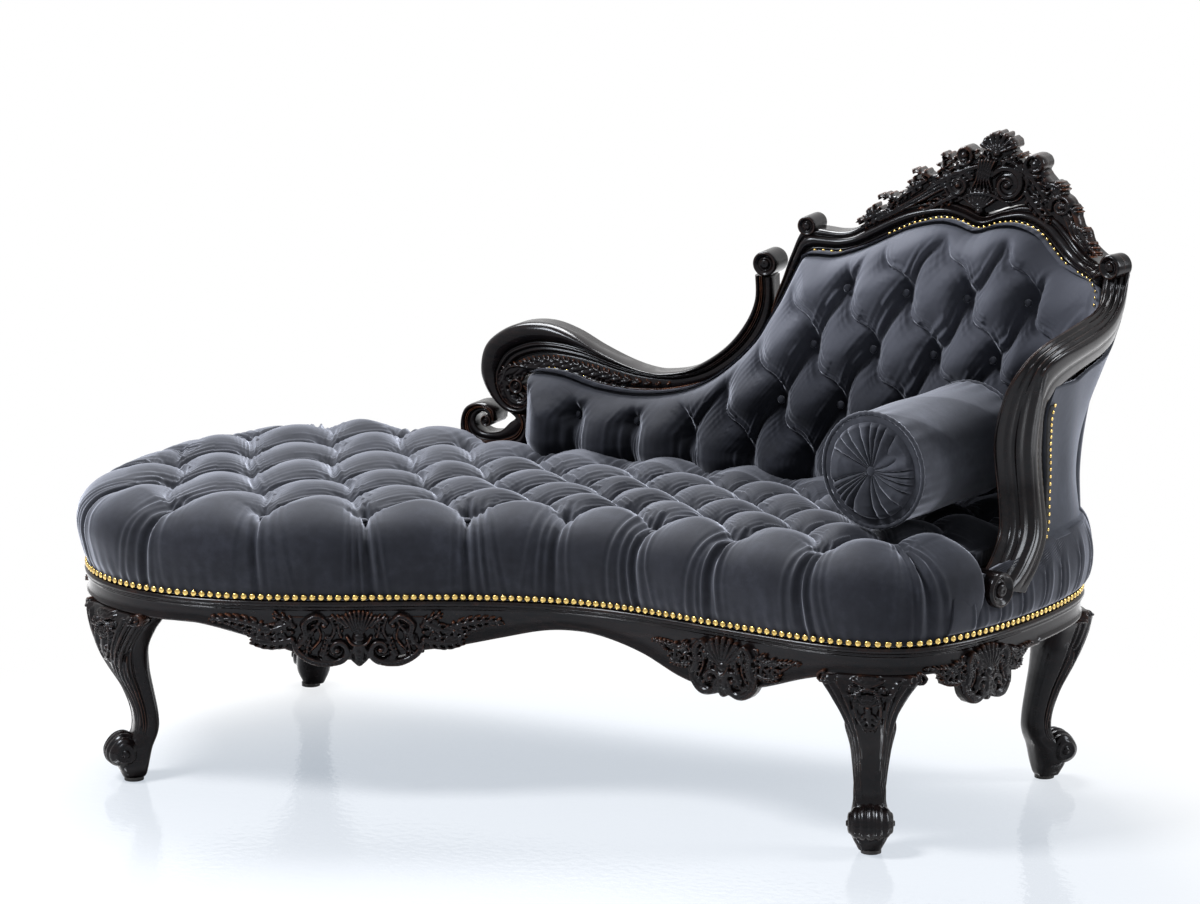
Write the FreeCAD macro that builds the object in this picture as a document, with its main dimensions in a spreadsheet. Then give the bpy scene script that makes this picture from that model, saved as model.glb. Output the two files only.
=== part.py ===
import FreeCAD, Part
import math
import os

# A tufted chaise longue with a scrolled low back, a carved crest and one rolled arm.
# Millimetres. +Z is up, +X runs to the head end, the open front faces -Y.
# "run" is a distance along the shell, the line of the back and arm seen from above:
# it starts under the big scroll and goes along the back, round the corner and down the arm.

Vector = FreeCAD.Vector

SIZES = (
    ("frame_length", 1582.0, "seat frame, outside, foot end to head end"),
    ("frame_depth", 773.0, "seat frame, outside, front to back"),
    ("rail_top", 333.0, "top of the show wood above the floor"),
    ("back_rise", 702.0, "top of the carving above the show wood"),
    ("rail_deep", 42.0, "height of a straight seat rail"),
    ("rail_thick", 30.0, "thickness of a seat rail"),
    ("apron_drop", 100.0, "lowest apron carving below the show wood"),
    ("rebate_in", 6.0, "rebate for the cover, into the rail"),
    ("rebate_rise", 19.0, "height of the rebate"),
    ("bead_wide", 8.0, "height of the bead under the nails"),
    ("bead_proud", 4.0, "how far the bead stands out"),
    ("bead_drop", 3.0, "bead below the top of the show wood"),
    ("nail_wide", 11.0, "height of the nail trim"),
    ("nail_proud", 3.0, "how far the nail heads stand out"),
    ("leg_width", 78.0, "width of a leg post"),
    ("leg_depth", 70.0, "depth of a leg post"),
    ("leg_inset", 34.0, "middle of a leg inside the frame outline"),
    ("toe_scroll", 23.0, "radius of the toe scroll"),
    ("leaf_gap", 28.0, "leaf end of an apron carving, from the leg post"),
    ("glide_radius", 16.0, "radius of a floor glide"),
    ("glide_thick", 6.0, "height of a floor glide"),
    ("block_wide", 92.0, "width of a corner block"),
    ("block_deep", 36.0, "depth of a corner block"),
    ("block_high", 28.0, "height of a corner block"),
    ("bolt_radius", 4.0, "radius of a corner bolt"),
    ("bolt_grip", 34.0, "corner bolt inside the leg post"),
    ("bolt_head", 8.0, "radius of a corner bolt's head"),
    ("bolt_head_thick", 5.0, "thickness of a corner bolt's head"),
    ("bolt_play", 0.3, "clearance round a corner bolt"),
    ("cross_wide", 45.0, "width of a cross rail"),
    ("cross_high", 34.0, "height of a cross rail"),
    ("web_wide", 50.0, "width of a webbing strap"),
    ("web_thick", 2.0, "thickness of a webbing strap"),
    ("web_inset", 14.0, "webbing and deck inside the frame outline"),
    ("deck_thick", 1.5, "thickness of the hessian deck"),
    ("dust_thick", 1.0, "thickness of the dust cover"),
    ("foam_rise", 72.0, "height of the seat filling above the deck"),
    ("foam_inset", 30.0, "seat filling inside the cover"),
    ("skirt_thick", 5.2, "thickness of the cover where it is nailed"),
    ("seat_crown", 485.0, "highest point of the seat above the floor"),
    ("tuft_depth", 34.0, "depth of a seat tuft"),
    ("tuft_pitch", 150.0, "seat buttons, side by side"),
    ("seat_bulge", 16.0, "how far the seat side swells past the frame"),
    ("seat_edge_fall", 32.0, "seat edge below its crown"),
    ("seat_edge_in", 20.0, "seat edge inside the frame outline"),
    ("seat_back_in", 52.0, "seat edge inside the outline under back and arm"),
    ("button_radius", 8.5, "radius of a covered button"),
    ("button_thick", 5.0, "thickness of a covered button"),
    ("button_press", 2.0, "how far a back button presses into the velvet"),
    ("shell_in", 25.0, "shell line inside the frame outline"),
    ("rail_half", 24.0, "half the thickness of the show wood of the back"),
    ("post_half", 13.0, "half the thickness of a back post"),
    ("post_wide", 44.0, "width of a back post"),
    ("cover_out", 20.0, "outside cover, from the shell line"),
    ("cover_thick", 4.0, "thickness of the outside cover"),
    ("roll_bulge", 15.0, "roll at the foot of the outside cover"),
    ("pad_back", 15.0, "back of the padding, from the shell line"),
    ("pad_edge", 9.0, "thickness of the padding where it is nailed"),
    ("back_pad", 104.0, "padding of the back past its edge"),
    ("arm_pad", 17.0, "padding of the arm past its edge"),
    ("pad_round", 70.0, "rounding at the edges of the padding"),
    ("back_tuft_depth", 30.0, "depth of a back tuft"),
    ("back_pitch", 106.0, "back buttons, side by side"),
    ("back_row", 95.0, "back buttons, row to row"),
    ("arm_flare", 66.0, "how far the arm rolls outwards"),
    ("joint_gap", 1.0, "cloth and play between upholstery and show wood"),
    ("clear", 0.3, "clearance of a loose piece"),
    ("carving_proud", 8.0, "crest carving in front of the show wood"),
    ("scroll_radius", 23.0, "radius of the scroll at the top of the low back"),
    ("ear_radius", 17.0, "radius of a crest ear"),
    ("arm_scroll_radius", 25.0, "radius of the scroll at the foot of the arm"),
    ("bolster_radius", 92.0, "radius of the bolster"),
    ("bolster_length", 295.0, "length of the bolster"),
    ("bolster_round", 12.0, "rounding of the bolster's ends"),
    ("piping_radius", 4.0, "radius of the bolster's piping"),
    ("end_thick", 9.0, "pleated end of the bolster"),
    ("bolster_turn", 10.0, "bolster out of square, in degrees"),
)

doc = FreeCAD.newDocument("ChaiseLongue")
sheet = doc.addObject("Spreadsheet::Sheet", "Sizes")
for row, (name, value, meaning) in enumerate(SIZES, start=1):
    sheet.set("A%d" % row, meaning)
    sheet.set("B%d" % row, "%g" % value)
    sheet.setAlias("B%d" % row, name)
doc.recompute()


class Sizes:
    """The sheet's values, by name."""


S = Sizes()
for name, value, meaning in SIZES:
    setattr(S, name, float(sheet.get(name)))

# Seat frame seen from above, clockwise from the big scroll: shares of its length and depth.
outline_shares = (
    (-0.158, 0.386), (0.126, 0.386), (0.379, 0.386), (0.442, 0.362), (0.484, 0.272),
    (0.494, 0.103), (0.480, -0.078), (0.455, -0.233), (0.414, -0.349), (0.360, -0.386),
    (0.284, -0.378), (0.190, -0.349), (0.082, -0.323), (-0.019, -0.365), (-0.107, -0.446),
    (-0.196, -0.537), (-0.272, -0.589), (-0.354, -0.603), (-0.436, -0.537), (-0.477, -0.440),
    (-0.499, -0.298), (-0.506, -0.078), (-0.487, 0.149), (-0.436, 0.291), (-0.360, 0.365),
)
# Legs: nearest place in plan, as shares of the frame's length and depth.
leg_place_shares = {
    "leg_front_foot": (-0.403, -0.560),
    "leg_front_head": (0.384, -0.370),
    "leg_back_head": (0.452, 0.335),
    "leg_back_foot": (-0.418, 0.300),
}
# Turn of each front toe from square to the frame, in degrees.
toe_turns = {"leg_front_foot": -22.0, "leg_front_head": 10.0}
# The leg turns from its toe's direction to the frame's between these shares of its height.
leg_turn_shares = (0.45, 0.80)
# Cabriole leg on its glide: shares of the post's depth and width: the middle's offset
# outwards, depth, width.
leg_foot_shares = (0.00, 0.52, 0.46)
# The leg from there up: height, then the same shares.
leg_section_shares = (
    (0.036, 0.00, 0.60, 0.54), (0.090, 0.02, 0.74, 0.74),
    (0.165, -0.06, 0.74, 0.76), (0.240, -0.28, 0.58, 0.64), (0.330, -0.30, 0.55, 0.60),
    (0.450, -0.17, 0.62, 0.66), (0.570, 0.03, 0.80, 0.80), (0.676, 0.16, 0.96, 1.02),
    (0.766, 0.16, 1.06, 1.44), (0.835, 0.10, 1.12, 1.90), (0.868, 0.04, 1.06, 1.96),
    (0.870, 0.00, 1.00, 1.00), (1.000, 0.00, 1.00, 1.00),
)
# Toe scroll: how far out (share of the post's depth), how high (share of the show wood's
# height) and how long (share of the post's width).
toe_shares = (0.26, 0.165, 0.84)
# Scroll: shares of its length from the middle and of its radius.
scroll_shares = ((-0.50, 0.62), (-0.40, 1.0), (0.40, 1.0), (0.50, 0.62))
# Lower edge of the front apron: shares of the frame's length and of the apron's drop.
apron_shares = (
    (-0.341, -0.43), (-0.297, -0.43), (-0.243, -0.62), (-0.197, -0.87), (-0.150, -0.96),
    (-0.107, -0.85), (-0.061, -0.75), (-0.018, -0.60), (0.021, -0.46), (0.051, -0.42),
    (0.084, -0.46), (0.131, -0.64), (0.178, -0.92), (0.223, -1.01), (0.269, -0.85),
    (0.314, -0.61), (0.354, -0.45),
)
apron_low_share = 1.05
# Apron carvings: the legs on either side, then the middle and half width as shares of the run
# between those legs, lowest and highest point (shares of the apron's drop) and how far they
# stand out (share of the rail).
cartouche_shares = {
    "carving_front_foot": ("leg_front_head", "leg_front_foot", 0.6986, 0.2064, -1.00, -0.16, 0.50),
    "carving_front_head": ("leg_front_head", "leg_front_foot", 0.1484, 0.1211, -1.05, -0.18, 0.50),
    "carving_head": ("leg_back_head", "leg_front_head", 0.7325, 0.2658, -0.98, -0.16, 0.45),
    "carving_foot": ("leg_front_foot", "leg_back_foot", 0.3791, 0.2513, -0.90, -0.16, 0.45),
}
# A carving's ends: share of its half width, and heights as shares of the apron's drop.
leaf_end_share = 0.985
leaf_height_shares = (-0.42, -0.38)
leaf_lobe_share = 0.16
leaf_section_shares = (
    (0.00, 0.00), (0.00, 0.45), (0.22, 0.90), (0.55, 1.00), (0.85, 0.70), (1.00, 0.30),
    (1.00, 0.00),
)
# Places of cross rails and webbing: shares of the frame's length or depth.
cross_rail_shares = (-0.22, 0.19)
long_strap_shares = (-0.20, -0.03, 0.14)
cross_strap_shares = (-0.42, 0.40)
cross_strap_count = 9
# Rows of seat buttons lie between these two lines: shares of the frame's length and depth.
front_row_shares = (
    (-0.506, -0.517), (-0.392, -0.524), (-0.348, -0.530), (-0.253, -0.485), (-0.158, -0.414),
    (-0.038, -0.304), (0.082, -0.246), (0.190, -0.265), (0.284, -0.291), (0.379, -0.304),
    (0.474, -0.304),
)
back_row_shares = (
    (-0.506, 0.259), (-0.379, 0.291), (-0.284, 0.291), (-0.190, 0.220), (-0.126, 0.162),
    (0.474, 0.162),
)
row_count = 5
first_column_share = 0.333
# Runs where the seat's edge steps in behind the back and arm: shares of the frame's length.
step_in_shares = (-0.146, -0.088)
step_out_shares = (0.868, 0.906)
# Side of the seat: share of its height, share of its bulge.
seat_side_shares = ((0.42, 0.80), (0.68, 1.00), (0.88, 0.55))
# Roll of the arm outwards: share of the back's rise, share of the flare.
flare_shares = (
    (0.010, 0.0), (0.095, 0.0), (0.181, -0.09), (0.266, -0.18), (0.352, -0.12), (0.437, 0.09),
    (0.523, 0.42), (0.608, 0.79), (0.665, 0.91), (0.751, 1.0),
)
back_lean_share = 0.10
# Outlines on the shell: shares of the frame's length along the run, of the rise upwards.
upholstery_shares = (
    (0.006, 0.356), (0.021, 0.363), (0.049, 0.359), (0.085, 0.339), (0.132, 0.332),
    (0.178, 0.346), (0.212, 0.376), (0.240, 0.422), (0.266, 0.483), (0.281, 0.540),
    (0.293, 0.587), (0.302, 0.630), (0.310, 0.668), (0.317, 0.692), (0.331, 0.697),
    (0.349, 0.697), (0.366, 0.708), (0.384, 0.724), (0.415, 0.759), (0.434, 0.778),
    (0.462, 0.794), (0.482, 0.790), (0.502, 0.777), (0.525, 0.793), (0.547, 0.796),
    (0.567, 0.780), (0.582, 0.744), (0.595, 0.716), (0.613, 0.700), (0.633, 0.692),
    (0.647, 0.664), (0.651, 0.637), (0.686, 0.613), (0.721, 0.602), (0.755, 0.592),
    (0.780, 0.576), (0.796, 0.553), (0.806, 0.519), (0.805, 0.437), (0.792, 0.323),
    (0.793, 0.240),
)
swoop_upper_shares = (
    (0.257, 0.634), (0.258, 0.575), (0.247, 0.514), (0.224, 0.452), (0.188, 0.400),
    (0.154, 0.383), (0.131, 0.386), (0.107, 0.400), (0.076, 0.426), (0.046, 0.456),
    (0.016, 0.473), (-0.014, 0.469), (-0.039, 0.446), (-0.058, 0.406), (-0.062, 0.349),
    (-0.055, 0.306), (-0.041, 0.271), (-0.023, 0.249), (-0.004, 0.255), (0.005, 0.285),
    (0.001, 0.318), (-0.012, 0.326),
)
swoop_lower_shares = (
    (0.274, 0.630), (0.275, 0.554), (0.265, 0.490), (0.242, 0.427), (0.212, 0.378),
    (0.170, 0.345), (0.132, 0.334), (0.110, 0.335), (0.085, 0.341), (0.053, 0.360),
    (0.025, 0.366), (0.006, 0.364), (-0.008, 0.369), (-0.023, 0.366), (-0.031, 0.342),
    (-0.030, 0.312), (-0.025, 0.291), (-0.018, 0.275), (-0.008, 0.275), (-0.004, 0.291),
    (-0.008, 0.305), (-0.013, 0.308),
)
curl_outer_shares = (
    (-0.002, 0.2495), (0.002, 0.218), (-0.005, 0.175), (-0.029, 0.161), (-0.059, 0.161),
    (-0.079, 0.181), (-0.083, 0.217), (-0.077, 0.254), (-0.059, 0.268), (-0.042, 0.254),
    (-0.040, 0.226),
)
curl_inner_shares = (
    (-0.024, 0.2495), (-0.017, 0.238), (-0.024, 0.224), (-0.035, 0.202), (-0.052, 0.195),
    (-0.063, 0.204), (-0.066, 0.219), (-0.064, 0.236), (-0.058, 0.245), (-0.052, 0.241),
    (-0.050, 0.228),
)
crest_upper_shares = (
    (0.277, 0.552), (0.281, 0.589), (0.288, 0.634), (0.296, 0.690), (0.307, 0.745),
    (0.323, 0.751), (0.345, 0.748), (0.361, 0.754), (0.377, 0.774), (0.409, 0.811),
    (0.430, 0.828), (0.461, 0.839), (0.484, 0.829), (0.506, 0.813), (0.529, 0.830),
    (0.553, 0.842), (0.580, 0.819), (0.591, 0.796), (0.607, 0.759), (0.623, 0.744),
    (0.652, 0.741),
)
crest_lower_shares = (
    (0.281, 0.542), (0.293, 0.589), (0.302, 0.632), (0.310, 0.670), (0.317, 0.695),
    (0.331, 0.700), (0.349, 0.700), (0.367, 0.711), (0.385, 0.728), (0.415, 0.763),
    (0.436, 0.782), (0.462, 0.797), (0.482, 0.793), (0.502, 0.780), (0.525, 0.796),
    (0.547, 0.799), (0.567, 0.783), (0.582, 0.747), (0.595, 0.719), (0.613, 0.703),
    (0.640, 0.690),
)
arm_inner_front_shares = (
    (0.655, 0.740), (0.665, 0.687), (0.689, 0.665), (0.726, 0.655), (0.764, 0.642),
    (0.795, 0.625), (0.819, 0.594), (0.833, 0.533), (0.829, 0.437), (0.815, 0.316),
    (0.818, 0.226), (0.841, 0.160), (0.865, 0.117),
)
arm_outer_front_shares = (
    (0.655, 0.740), (0.670, 0.677), (0.695, 0.642), (0.727, 0.625), (0.759, 0.614),
    (0.790, 0.601), (0.808, 0.574), (0.803, 0.521), (0.790, 0.433), (0.776, 0.312),
    (0.782, 0.202), (0.812, 0.138), (0.841, 0.095),
)
arm_inner_back_shares = (
    (0.642, 0.690), (0.651, 0.640), (0.686, 0.616), (0.721, 0.605), (0.755, 0.595),
    (0.781, 0.579), (0.798, 0.556), (0.808, 0.519), (0.807, 0.437), (0.794, 0.323),
    (0.795, 0.224), (0.815, 0.147), (0.844, 0.084),
)
arm_outer_back_shares = (
    (0.642, 0.688), (0.651, 0.597), (0.686, 0.563), (0.721, 0.548), (0.749, 0.531),
    (0.771, 0.509), (0.779, 0.483), (0.776, 0.452), (0.765, 0.395), (0.753, 0.302),
    (0.760, 0.195), (0.786, 0.131), (0.815, 0.078),
)
carving_upper_shares = (
    (0.355, 0.764), (0.381, 0.796), (0.405, 0.823), (0.415, 0.868), (0.438, 0.893),
    (0.448, 0.920), (0.470, 0.927), (0.475, 0.957), (0.491, 0.960), (0.501, 0.980),
    (0.516, 1.000), (0.533, 0.989), (0.542, 0.963), (0.561, 0.954), (0.570, 0.933),
    (0.571, 0.905), (0.583, 0.893), (0.589, 0.872), (0.597, 0.848), (0.611, 0.811),
    (0.623, 0.779), (0.645, 0.759),
)
carving_lower_shares = (
    (0.347, 0.753), (0.372, 0.771), (0.395, 0.795), (0.410, 0.814), (0.429, 0.830),
    (0.443, 0.835), (0.460, 0.841), (0.471, 0.837), (0.483, 0.831), (0.496, 0.823),
    (0.506, 0.817), (0.519, 0.824), (0.530, 0.834), (0.544, 0.842), (0.556, 0.844),
    (0.565, 0.838), (0.576, 0.825), (0.583, 0.813), (0.591, 0.798), (0.601, 0.776),
    (0.614, 0.754), (0.632, 0.744),
)
# Sections of the show wood: across from the upper to the lower edge, room face to outside.
moulding_shares = (
    (0.00, 0.30), (0.10, 0.04), (0.28, 0.00), (0.42, 0.16), (0.60, 0.16), (0.76, 0.02),
    (0.92, 0.06), (1.00, 0.34), (0.96, 0.92), (0.50, 1.00), (0.06, 0.88),
)
relief_shares = (
    (0.00, 0.45), (0.16, 0.12), (0.45, 0.00), (0.80, 0.10), (1.00, 0.40), (1.00, 0.95),
    (0.50, 1.00), (0.00, 0.90),
)
# Scrolls: middle on the shell, shares of the frame's length and of the rise.
top_scroll_share = (0.268, 0.661)
left_ear_share = (0.313, 0.757)
right_ear_share = (0.661, 0.750)
arm_scroll_share = (0.853, 0.101)
# Back posts: run of each, and its top, in the same shares.
post_shares = (("back_post_foot", 0.060, 0.340), ("back_post_middle", 0.420, 0.740),
               ("back_post_corner", 0.590, 0.690))
arm_post_top_share = 0.46
arm_post_wide_share = 0.80
arm_room_share = 0.60
# Tufting of the back, in shares of the pitch and the rise: first column, its lean above a
# height, and the height of the middle row.
pad_column_share = 0.12
pad_lean_share = 0.25
pad_lean_from_share = 0.64
pad_row_share = 0.50
# The lowest row climbs by this share of a row on the low back, between these runs.
low_row_share = 0.36
low_row_shares = (0.14, 0.30)
# The padding thins from the back to the arm between these runs.
arm_pad_shares = (0.54, 0.65)
# Roll at the foot of the outside cover: shares of the rise, its middle and its half width.
roll_shares = (0.095, 0.045)
# Run of the seam between the outside covers, and of the walls that the bolster lies against.
corner_share = 0.641
bolster_back_share = 0.52
bolster_arm_share = 0.73
# Pleated end of the bolster: share of its radius, share of its thickness, half wave.
pleat_shares = ((0.12, 0.35, 0.0), (0.34, 0.72, 0.16), (0.72, 0.95, 0.12), (0.97, 0.55, 0.05),
                (0.985, 0.0, 0.0))
button_seat_share = 0.35
button_shares = ((0.0, 0.90), (0.45, 1.0), (1.0, 0.55))


def between(low, high, share):
    return low + (high - low) * share


def look_up(table, place):
    """Height of a polyline at a place along it."""
    if place <= table[0][0]:
        return table[0][1]
    for (a, low), (b, high) in zip(table, table[1:]):
        if place <= b:
            return between(low, high, (place - a) / (b - a))
    return table[-1][1]


def smooth_step(share):
    share = min(1.0, max(0.0, share))
    return share * share * (3.0 - 2.0 * share)


def smooth_line(points, per_span):
    """Points of a Catmull-Rom curve through the given ones."""
    line = []
    last = len(points) - 1
    for i in range(last):
        before = points[max(i - 1, 0)]
        after = points[min(i + 2, last)]
        for k in range(per_span):
            u = k / per_span
            line.append(points[i] * (1.5 * u ** 3 - 2.5 * u ** 2 + 1.0)
                        + points[i + 1] * (2.0 * u ** 2 - 1.5 * u ** 3 + 0.5 * u)
                        + before * (u ** 2 - 0.5 * u ** 3 - 0.5 * u)
                        + after * (0.5 * u ** 3 - 0.5 * u ** 2))
    line.append(points[last])
    return line


outline_points = [Vector(x * S.frame_length, y * S.frame_depth, 0.0) for x, y in outline_shares]
outline_curve = Part.BSplineCurve()
outline_curve.interpolate(Points=outline_points, PeriodicFlag=True)
outline_steps = 900


def walk_outline():
    """Places and outward directions along the frame, with the run measured on the shell line."""
    first, last = outline_curve.FirstParameter, outline_curve.LastParameter
    places, outward, runs = [], [], [0.0]
    for i in range(outline_steps):
        parameter = between(first, last, i / outline_steps)
        along = outline_curve.tangent(parameter)[0]
        places.append(outline_curve.value(parameter))
        outward.append(Vector(-along.y, along.x, 0.0))
    for i in range(outline_steps):
        k = (i + 1) % outline_steps
        start = places[i] - outward[i] * S.shell_in
        runs.append(runs[-1] + (places[k] - outward[k] * S.shell_in - start).Length)
    return places, outward, runs


outline_places, outline_outward, outline_runs = walk_outline()
whole_run = outline_runs[-1]


def station(run):
    """Place on the frame outline and its outward direction at a run."""
    run = run % whole_run
    low, high = 0, outline_steps
    while high - low > 1:
        middle = (low + high) // 2
        if outline_runs[middle] <= run:
            low = middle
        else:
            high = middle
    share = (run - outline_runs[low]) / (outline_runs[low + 1] - outline_runs[low])
    after = (low + 1) % outline_steps
    place = outline_places[low] * (1.0 - share) + outline_places[after] * share
    outward = outline_outward[low] * (1.0 - share) + outline_outward[after] * share
    outward.normalize()
    return place, outward


def frame_point(run, inset, height):
    place, outward = station(run)
    return place - outward * inset + Vector(0.0, 0.0, height)


def nearest_run(x, y):
    target = Vector(x, y, 0.0)
    nearest = min(range(outline_steps), key=lambda i: (outline_places[i] - target).Length)
    return outline_runs[nearest]


def shell_point(run, rise, out):
    """Point of the back and arm: run along, rise above the show wood, out from the shell."""
    place, outward = station(run)
    turned = min(1.0, max(0.0, math.atan2(outward.x, outward.y) / math.radians(90.0)))
    if run < 0.0:
        turned = 0.0
    if run > whole_run / 4.0:
        turned = max(turned, smooth_step((run - whole_run / 4.0) / S.shell_in))
    weight = smooth_step(turned)
    flare = S.arm_flare * look_up(flare_shares, rise / S.back_rise)
    offset = between(back_lean_share * rise, flare, weight) + out - S.shell_in
    return place + outward * offset + Vector(0.0, 0.0, S.rail_top + rise)


def shell_line(shares, out, per_span):
    places = [Vector(a * S.frame_length, b * S.back_rise, 0.0) for a, b in shares]
    return [shell_point(p.x, p.y, out) for p in smooth_line(places, per_span)]


def solid_from(points, triangles):
    """Closed solid of flat triangles."""
    shape = Part.Shape()
    shape.makeShapeFromMesh((points, triangles), S.clear / 100.0, True)
    solid = Part.Solid(Part.Shell(shape.Faces))
    if solid.Volume < 0.0:
        solid.reverse()
    return solid


def sides(rings, closed=False):
    """Triangles between neighbouring rings of equally many points."""
    count = len(rings[0])
    triangles = []
    spans = len(rings) if closed else len(rings) - 1
    for i in range(spans):
        a = i * count
        b = ((i + 1) % len(rings)) * count
        for k in range(count):
            n = (k + 1) % count
            triangles.append((a + k, a + n, b + n))
            triangles.append((a + k, b + n, b + k))
    return triangles


def skin(rings, closed=False):
    """Solid over rings of equally many points, capped at both ends or joined in a loop."""
    count = len(rings[0])
    points = [p for ring in rings for p in ring]
    triangles = sides(rings, closed)
    if not closed:
        for start, flip in ((0, True), ((len(rings) - 1) * count, False)):
            middle = Vector(0.0, 0.0, 0.0)
            for k in range(count):
                middle += points[start + k]
            points.append(middle * (1.0 / count))
            for k in range(count):
                n = (k + 1) % count
                ends = (start + n, start + k) if flip else (start + k, start + n)
                triangles.append(ends + (len(points) - 1,))
    return solid_from(points, triangles)


def moulded(upper_room, upper_out, lower_out, lower_room, section):
    """Section carried between four edge lines of equally many points."""
    rings = []
    for a, b, c, d in zip(upper_room, upper_out, lower_out, lower_room):
        ring = []
        for across, through in section:
            room = a * (1.0 - across) + d * across
            outside = b * (1.0 - across) + c * across
            ring.append(room * (1.0 - through) + outside * through)
        rings.append(ring)
    return skin(rings)


def show_rail(upper, lower, section, per_span, proud=0.0):
    """Moulded rail of even thickness between two outlines on the shell."""
    room = -S.rail_half - proud
    return moulded(shell_line(upper, room, per_span), shell_line(upper, S.rail_half, per_span),
                   shell_line(lower, S.rail_half, per_span), shell_line(lower, room, per_span),
                   section)


def circle_through(a, b, c):
    d = 2.0 * (a[0] * (b[1] - c[1]) + b[0] * (c[1] - a[1]) + c[0] * (a[1] - b[1]))
    if abs(d) < 1e-9:
        return 0.0, 0.0, float("inf")
    aa = a[0] ** 2 + a[1] ** 2
    bb = b[0] ** 2 + b[1] ** 2
    cc = c[0] ** 2 + c[1] ** 2
    x = (aa * (b[1] - c[1]) + bb * (c[1] - a[1]) + cc * (a[1] - b[1])) / d
    y = (aa * (c[0] - b[0]) + bb * (a[0] - c[0]) + cc * (b[0] - a[0])) / d
    return x, y, (a[0] - x) ** 2 + (a[1] - y) ** 2


def is_inside(x, y, border):
    inside = False
    for (x1, y1), (x2, y2) in zip(border, border[1:] + border[:1]):
        if (y1 > y) != (y2 > y) and x < between(x1, x2, (y - y1) / (y2 - y1)):
            inside = not inside
    return inside


def border_distance(x, y, border):
    nearest = float("inf")
    for (x1, y1), (x2, y2) in zip(border, border[1:] + border[:1]):
        along = (x2 - x1) ** 2 + (y2 - y1) ** 2
        share = ((x - x1) * (x2 - x1) + (y - y1) * (y2 - y1)) / along
        share = min(1.0, max(0.0, share))
        gap = math.hypot(x - between(x1, x2, share), y - between(y1, y2, share))
        nearest = min(nearest, gap)
    return nearest


def triangulate(border, inner):
    """Delaunay triangles of a border and the points in it; border points come first."""
    places = border + inner
    shaken = [(x * (1.0 + 1e-7 * math.sin(7.0 * i)), y * (1.0 + 1e-7 * math.cos(11.0 * i)))
              for i, (x, y) in enumerate(places)]
    reach = 10.0 * max(max(abs(x), abs(y)) for x, y in shaken)
    count = len(shaken)
    shaken += [(-reach, -reach), (reach, -reach), (0.0, reach)]
    corners = (count, count + 1, count + 2)
    found = {corners: circle_through(*[shaken[k] for k in corners])}
    for i in range(count):
        x, y = shaken[i]
        hit = [t for t, (cx, cy, rr) in found.items() if (x - cx) ** 2 + (y - cy) ** 2 < rr]
        edges = {}
        for t in hit:
            del found[t]
            for edge in ((t[0], t[1]), (t[1], t[2]), (t[2], t[0])):
                edges[edge] = True
        for a, b in edges:
            if (b, a) not in edges:
                t = (a, b, i)
                found[t] = circle_through(*[shaken[k] for k in t])
    kept = []
    for t in found:
        if max(t) >= count:
            continue
        x = sum(places[k][0] for k in t) / 3.0
        y = sum(places[k][1] for k in t) / 3.0
        if is_inside(x, y, border):
            kept.append(t)
    return kept


def pillow(a, b):
    """Height share of diamond tufting: 0 at buttons and pleats, 1 in the middle of a diamond."""
    return math.sqrt(abs(math.sin(math.pi * a) * math.sin(math.pi * b)))


plan_stations = 96
plan_runs = [whole_run * i / plan_stations for i in range(plan_stations)]


def prism(inset, low, high, edge=None):
    """Upright solid inside the frame outline."""
    points = []
    for run in plan_runs:
        extra = edge(run) if edge else 0.0
        points.append(frame_point(run, inset + extra, low))
    wire = Part.makePolygon(points + points[:1])
    return Part.Face(wire).extrude(Vector(0.0, 0.0, high - low))


def ring(outer, inner, low, high):
    """Upright band that follows the frame outline."""
    return prism(outer, low, high).cut(prism(inner, low, high))


def largest(shape):
    """The main solid of a cut shape."""
    return max(shape.Solids, key=lambda solid: solid.Volume)


kept = {}


def keep(label, shape, placement=None):
    """Sub-part whose shape is worked out here from the sheet."""
    part = doc.addObject("Part::Feature", label)
    part.Label = label
    part.Shape = shape
    if placement:
        part.Placement = placement
    kept[label] = part
    return part


def bound(kind, label, sizes, placement=None):
    """Primitive with its sizes bound to the sheet."""
    item = doc.addObject(kind, label)
    item.Label = label
    for name, alias in sizes.items():
        item.setExpression(name, "<<Sizes>>." + alias)
    if placement:
        item.Placement = placement
    return item


def group(label, items):
    part = doc.addObject("Part::Compound", label)
    part.Label = label
    part.Links = items
    kept[label] = part
    return part


# Legs
leg_sides = 12
scroll_sides = 14


leg_runs = {name: nearest_run(x * S.frame_length, y * S.frame_depth)
            for name, (x, y) in leg_place_shares.items()}


def leg_frame(name):
    """Middle of the leg, its outward direction and the turn of its frame."""
    place, outward = station(leg_runs[name])
    turn = FreeCAD.Rotation(Vector(0.0, 0.0, 1.0), toe_turns.get(name, 0.0))
    return place - outward * S.leg_inset, outward, turn.multVec(outward)


def leg_section(middle, outward, toe, height, offset, depth, width):
    """Squarish section, square to the frame above and to the toe below."""
    low, high = leg_turn_shares
    share = smooth_step((height - low) / (high - low))
    out = toe * (1.0 - share) + outward * share
    out.normalize()
    side = Vector(-out.y, out.x, 0.0)
    ring_points = []
    for k in range(leg_sides):
        angle = 2.0 * math.pi * (k + 0.5) / leg_sides
        c, s = math.cos(angle), math.sin(angle)
        squareness = (abs(c) ** 3.2 + abs(s) ** 3.2) ** (-1.0 / 3.2)
        ring_points.append(middle + out * (S.leg_depth * (offset + depth / 2.0 * c * squareness))
                           + side * (S.leg_width * width / 2.0 * s * squareness)
                           + Vector(0.0, 0.0, height * S.rail_top))
    return ring_points


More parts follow.
